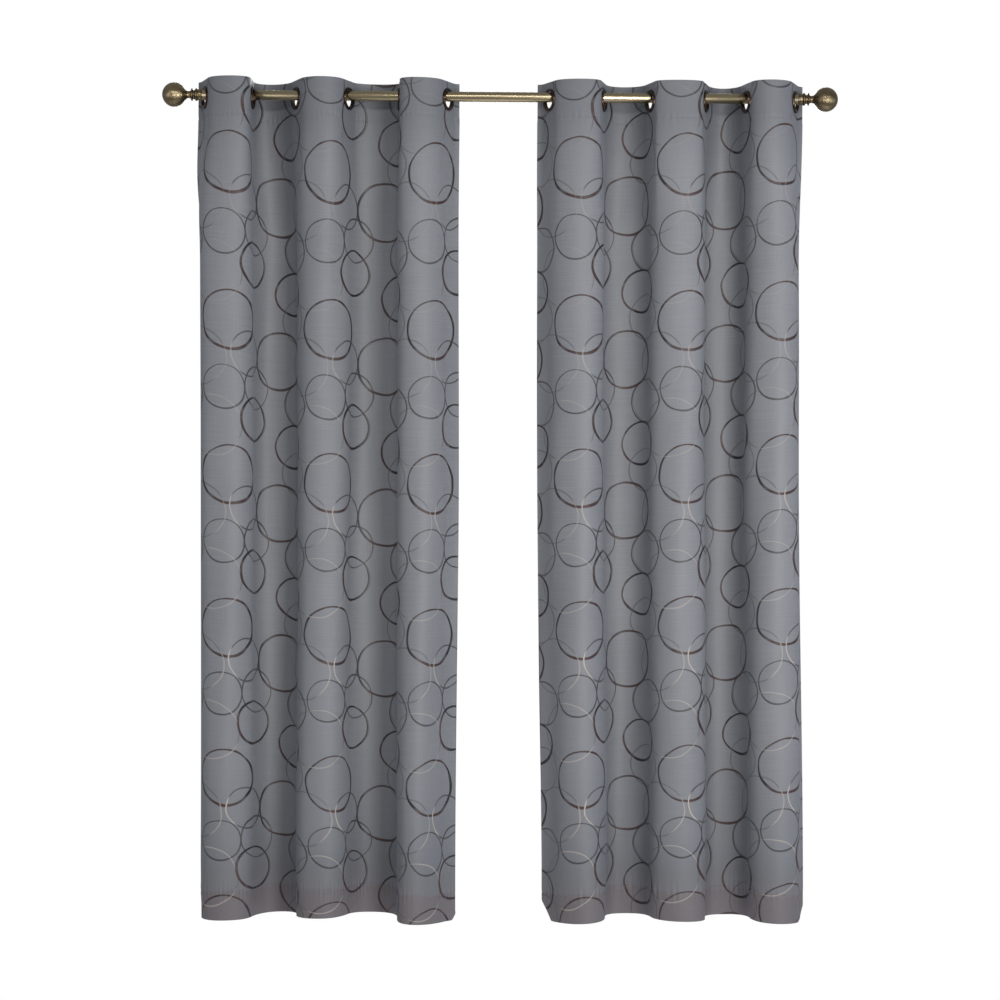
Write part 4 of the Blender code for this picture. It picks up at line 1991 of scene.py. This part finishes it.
@dataclass
class Rod:
    """The rod with a finial, a plug and a stud at each end."""

    frame: dict
    finishes: Finishes
    radius: float = 0.0127
    wall: float = 0.0010
    collar_radius: float = 0.0140
    bead: float = 0.7727
    bead_radius: float = 0.0163
    throat: float = 0.0115
    ridge: float = 0.7835
    ridge_radius: float = 0.0168
    neck_radius: float = 0.0092
    stud_hole: float = 0.0033
    ball_radius: float = 0.0310
    ball_wall: float = 0.0015
    ball_taper: float = 40.0

    def _lathe(self, side: Side) -> Lathe:
        """A lathe on the rod's axis whose +height points out of one end."""
        return Lathe(np.zeros(3), np.array((float(side.sign), 0.0, 0.0)))

    def _dress(self, mesh: bpy.types.Mesh, material: bpy.types.Material, node: str) -> None:
        """Add a turned piece that stands for a CAD node on the rod.

        Args:
            mesh: The piece's mesh.
            material: Its finish.
            node: The CAD node that it stands for.
        """
        mesh.materials.append(material)
        piece = add_piece(mesh.name, mesh)
        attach(piece, "rod")
        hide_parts(node)
        LOG.info("rod: %s", piece.name)

    def _tube(self) -> None:
        """The rod's tube."""
        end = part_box("rod_tube")[1].x
        outline = [
            (self.radius - self.wall / 2, end),
            (self.radius, end - 0.0004),
            (self.radius, -end + 0.0004),
            (self.radius - self.wall / 2, -end),
            (self.radius - self.wall, -end + 0.0003),
            (self.radius - self.wall, end - 0.0003),
        ]
        mesh = self._lathe(Side.RIGHT).turn("rod", outline)
        self._dress(mesh, self.finishes.rod, "rod_tube")

    def _collar(self, side: Side) -> None:
        """The sleeve over the rod's end, with its grooves and its bead.

        Args:
            side: The end of the rod.
        """
        low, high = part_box("right_finial_collar")
        start, end = low.x, high.x
        sleeve, web = self.radius + 0.0003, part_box("rod_tube")[1].x + 0.0003
        radius, bead = self.collar_radius, self.bead
        outline = [
            (self.stud_hole, end),
            (self.throat, end),
            (self.throat, end - 0.0026),
            (self.bead_radius - 0.0016, bead + 0.0024),
            (self.bead_radius - 0.0003, bead + 0.0011),
            (self.bead_radius, bead),
            (self.bead_radius - 0.0003, bead - 0.0011),
            (self.bead_radius - 0.0016, bead - 0.0024),
            (radius - 0.0009, start + 0.0094),
            (radius - 0.0009, start + 0.0088),
            (radius, start + 0.0082),
            (radius, start + 0.0030),
            (radius - 0.0005, start + 0.0026),
            (radius - 0.0005, start + 0.0020),
            (radius, start + 0.0016),
            (radius, start + 0.0004),
            (radius - 0.0004, start),
            (sleeve, start),
            (sleeve, web),
            (self.stud_hole, web),
            (self.stud_hole, end),
        ]
        mesh = self._lathe(side).turn(f"{side.value}_collar", eased(outline, 0.0004)[:-1])
        self._dress(mesh, self.finishes.finial, f"{side.value}_finial_collar")

    def _neck(self, side: Side) -> None:
        """The turned neck with its sharp ridge.

        Args:
            side: The end of the rod.
        """
        low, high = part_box("right_finial_neck")
        base, top, ridge = low.x, high.x, self.ridge
        outline = [
            (self.stud_hole, top),
            (self.neck_radius, top),
            (self.neck_radius, top - 0.0014),
            (self.neck_radius + 0.0006, ridge + 0.0040),
            (self.ridge_radius - 0.0022, ridge + 0.0022),
            (self.ridge_radius - 0.0004, ridge + 0.0009),
            (self.ridge_radius, ridge),
            (self.ridge_radius - 0.0004, ridge - 0.0009),
            (self.throat + 0.0016, ridge - 0.0022),
            (self.throat, base),
            (self.stud_hole, base),
            (self.stud_hole, top),
        ]
        mesh = self._lathe(side).turn(f"{side.value}_neck", eased(outline, 0.0005)[:-1])
        self._dress(mesh, self.finishes.finial, f"{side.value}_finial_neck")

    def _ball(self, side: Side) -> None:
        """The hollow ball, drawn in to the neck.

        Args:
            side: The end of the rod.
        """
        low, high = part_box("right_finial_ball")
        radius = self.ball_radius
        centre, base = high.x - radius, low.x
        taper = math.pi - math.radians(self.ball_taper)
        outside = arc(centre, radius, 0.0, taper, 40)
        outside[0] = (0.0, outside[0][1])
        shoulder = outside[-1]
        cone = [
            ((shoulder[0] * 2 + self.neck_radius) / 3 - 0.0025, (shoulder[1] * 2 + base) / 3),
            ((shoulder[0] + self.neck_radius * 2) / 3 - 0.0023, (shoulder[1] + base * 2) / 3),
            (self.neck_radius, base + 0.0008),
            (self.neck_radius, base),
            (self.stud_hole, base),
            (self.stud_hole, base + 0.0030),
            (self.neck_radius + 0.0010, base + 0.0030),
        ]
        inside = arc(centre, radius - self.ball_wall, taper - 0.08, 0.0, 16)
        inside[-1] = (0.0, inside[-1][1])
        mesh = self._lathe(side).turn(f"{side.value}_ball", outside + cone + inside)
        self._dress(mesh, self.finishes.finial, f"{side.value}_finial_ball")

    def build(self) -> None:
        """Build the tube and both finials, and dress the plugs and studs."""
        self._tube()
        for side in Side:
            self._collar(side)
            self._neck(side)
            self._ball(side)
            carried = {"end_plug": self.finishes.plastic, "finial_stud": self.finishes.steel}
            for label, material in carried.items():
                node = self.frame["nodes"][f"{side.value}_{label}"]
                node.data.materials.clear()
                node.data.materials.append(material)
                LOG.info("rod: %s", node.name)


@dataclass
class Studio:
    """The floor, the light and the camera."""

    target: Vector
    distance: float = 5.795
    swing: float = 0.8
    tilt: float = -0.30
    lens: float = 82.0
    floor_half: tuple[float, float] = (1.6, 0.9)

    def _camera(self) -> None:
        """A level camera a little to the left of the middle."""
        data = bpy.data.cameras.new("camera")
        data.lens = self.lens
        data.sensor_width = 36.0
        camera = bpy.data.objects.new("camera", data)
        swing = math.radians(self.swing)
        away = Vector((-math.sin(swing), -math.cos(swing), 0.0)) * self.distance
        camera.location = self.target + away
        camera.rotation_euler = (math.radians(90.0), math.radians(self.tilt), -swing)
        bpy.context.scene.collection.objects.link(camera)
        bpy.context.scene.camera = camera

    def _soft_box(self, name: str, place: tuple, size: tuple, power: float, colour: tuple) -> None:
        """A rectangular light aimed at the middle of the object.

        Args:
            name: The light's name.
            place: Where it stands.
            size: Its width and height.
            power: Watts.
            colour: Its colour.
        """
        data = bpy.data.lights.new(name, "AREA")
        data.shape = "RECTANGLE"
        data.size, data.size_y = size
        data.energy = power
        data.color = colour
        lamp = bpy.data.objects.new(name, data)
        lamp.location = place
        lamp.rotation_euler = (self.target - Vector(place)).to_track_quat("-Z", "Y").to_euler()
        bpy.context.scene.collection.objects.link(lamp)

    def _world(self) -> None:
        """A white surround that the camera sees brighter than the cloth does."""
        world = bpy.data.worlds.new("surround")
        world.use_nodes = True
        bpy.context.scene.world = world
        graph = Graph(world.node_tree)
        rays = graph.add("ShaderNodeLightPath")
        white, cool = (1.0, 1.0, 1.0, 1.0), (0.97, 0.98, 1.0, 1.0)
        soft = graph.add("ShaderNodeBackground", None, {"Color": cool, "Strength": 0.53})
        dim = graph.add("ShaderNodeBackground", None, {"Color": white, "Strength": 0.22})
        seen = graph.add("ShaderNodeBackground", None, {"Color": white, "Strength": 1.0})
        lit = {0: rays.outputs["Is Glossy Ray"], 1: soft.outputs[0], 2: dim.outputs[0]}
        around = graph.add("ShaderNodeMixShader", None, lit)
        all_rays = {0: rays.outputs["Is Camera Ray"], 1: around.outputs[0], 2: seen.outputs[0]}
        both = graph.add("ShaderNodeMixShader", None, all_rays)
        graph.add("ShaderNodeOutputWorld", None, {"Surface": both.outputs[0]})

    def _floor(self, height: float) -> None:
        """A small pale floor a little below the hems.

        Args:
            height: The floor's height.
        """
        x, y = self.floor_half
        corners = [(-x, -y, height), (x, -y, height), (x, y, height), (-x, y, height)]
        mesh = make_mesh("floor", np.array(corners), [[0, 1, 2, 3]])
        material, graph = new_material("pale_floor")
        place = graph.add("ShaderNodeTexCoord").outputs["Object"]
        speck = graph.noise(place, 30.0, 3.0)
        finish_material(
            graph,
            {
                "Base Color": graph.mix(speck, (0.90, 0.90, 0.90), (0.94, 0.94, 0.94)),
                "Roughness": speck.ramp(0.2, 0.8, 0.55, 0.65),
            },
        )
        mesh.materials.append(material)
        add_piece("floor", mesh)

    def build(self, floor_height: float) -> None:
        """Build the studio round the object.

        Args:
            floor_height: The floor's height.
        """
        self._camera()
        self._soft_box("key", (1.9, -3.3, -0.95), (1.3, 1.6), 82.0, (1.0, 0.99, 0.965))
        self._soft_box("fill", (-4.2, -2.6, -0.9), (1.6, 2.4), 20.0, (0.97, 0.98, 1.0))
        self._soft_box("side", (4.8, -1.6, -0.9), (1.4, 2.8), 23.0, (0.66, 0.82, 1.0))
        self._soft_box("strip", (0.3, -5.2, 1.3), (5.0, 0.5), 70.0, (1.0, 0.99, 0.97))
        self._soft_box("back", (0.0, 4.5, 0.6), (3.0, 2.5), 120.0, (1.0, 1.0, 1.0))
        self._world()
        self._floor(floor_height)
        bpy.context.scene.view_settings.view_transform = "Standard"
        LOG.info("studio: camera, five lights and floor")


# ---------------------------------------------------------------------------------------
# The two panels' settings

HANGS = {
    Side.LEFT: Hang(
        body=Lie((101, 94, 94, 64, 103, 60), 84, 26, (0.010, 0.0, 0.0, 0.0, 0.003, 0.009)),
        hem=Lie((96, 68, 86, 70, 92, 60), 70, 26, (0.009, 0.0, 0.0, 0.0, 0.006, 0.0175)),
        repeat=Repeat(
            0.152, 0.2356, 0.0300, -0.059, 0.0173, (-0.001, 0.012, 0.015, -0.001, 0.017)
        ),
        corners=(Corner(True, 0.016, 0.022),),
        dips=(-0.011, -0.011, -0.0144, -0.0166, -0.0062, 0.0036),
        seed=3,
        outer_flap=42.0,
        swell=0.008,
    ),
    Side.RIGHT: Hang(
        body=Lie((84, 90, 96, 78, 90, 62), 78, 42, (0.0075, 0.0, 0.0, 0.0, 0.0, 0.0)),
        hem=Lie((80, 84, 86, 78, 80, 62), 66, 40, (0.0115, 0.006, 0.0, 0.0, 0.004, 0.012)),
        repeat=Repeat(
            0.152, 0.2095, -0.0460, -0.0375, 0.0207, (-0.001, 0.004, 0.001, -0.009, 0.001)
        ),
        corners=(Corner(False, 0.040, 0.054), Corner(True, 0.026, 0.036)),
        dips=(0.001, -0.0075, -0.010, -0.005, -0.009, -0.002),
        seed=8,
        outer_flap=25.0,
    ),
}


def main() -> None:
    """Build the curtains, the rod and the studio, and report each piece."""
    logging.basicConfig(level=logging.INFO, format="%(name)s: %(message)s")
    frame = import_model()
    finishes = Finishes.build()
    stitches, rims = StitchRig(), RimRig()
    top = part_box("left_panel_cloth_1")[1].z
    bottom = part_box("left_panel_cloth_1")[0].z
    for side in Side:
        seats = [Seat.read(frame, side, n) for n in side.order]
        for seat in seats:
            Grommet(side, seat, finishes, rims).build()
        drape = Drape(side, seats, top, top - bottom, HANGS[side])
        Panel(side, drape, finishes, stitches).build()
    Rod(frame, finishes).build()
    aim = Vector((0.0036, 0.0, (top + bottom) / 2 + 0.0039))
    Studio(aim).build(floor_height=bottom - FLOOR_DROP)


if __name__ == "__main__":
    main()
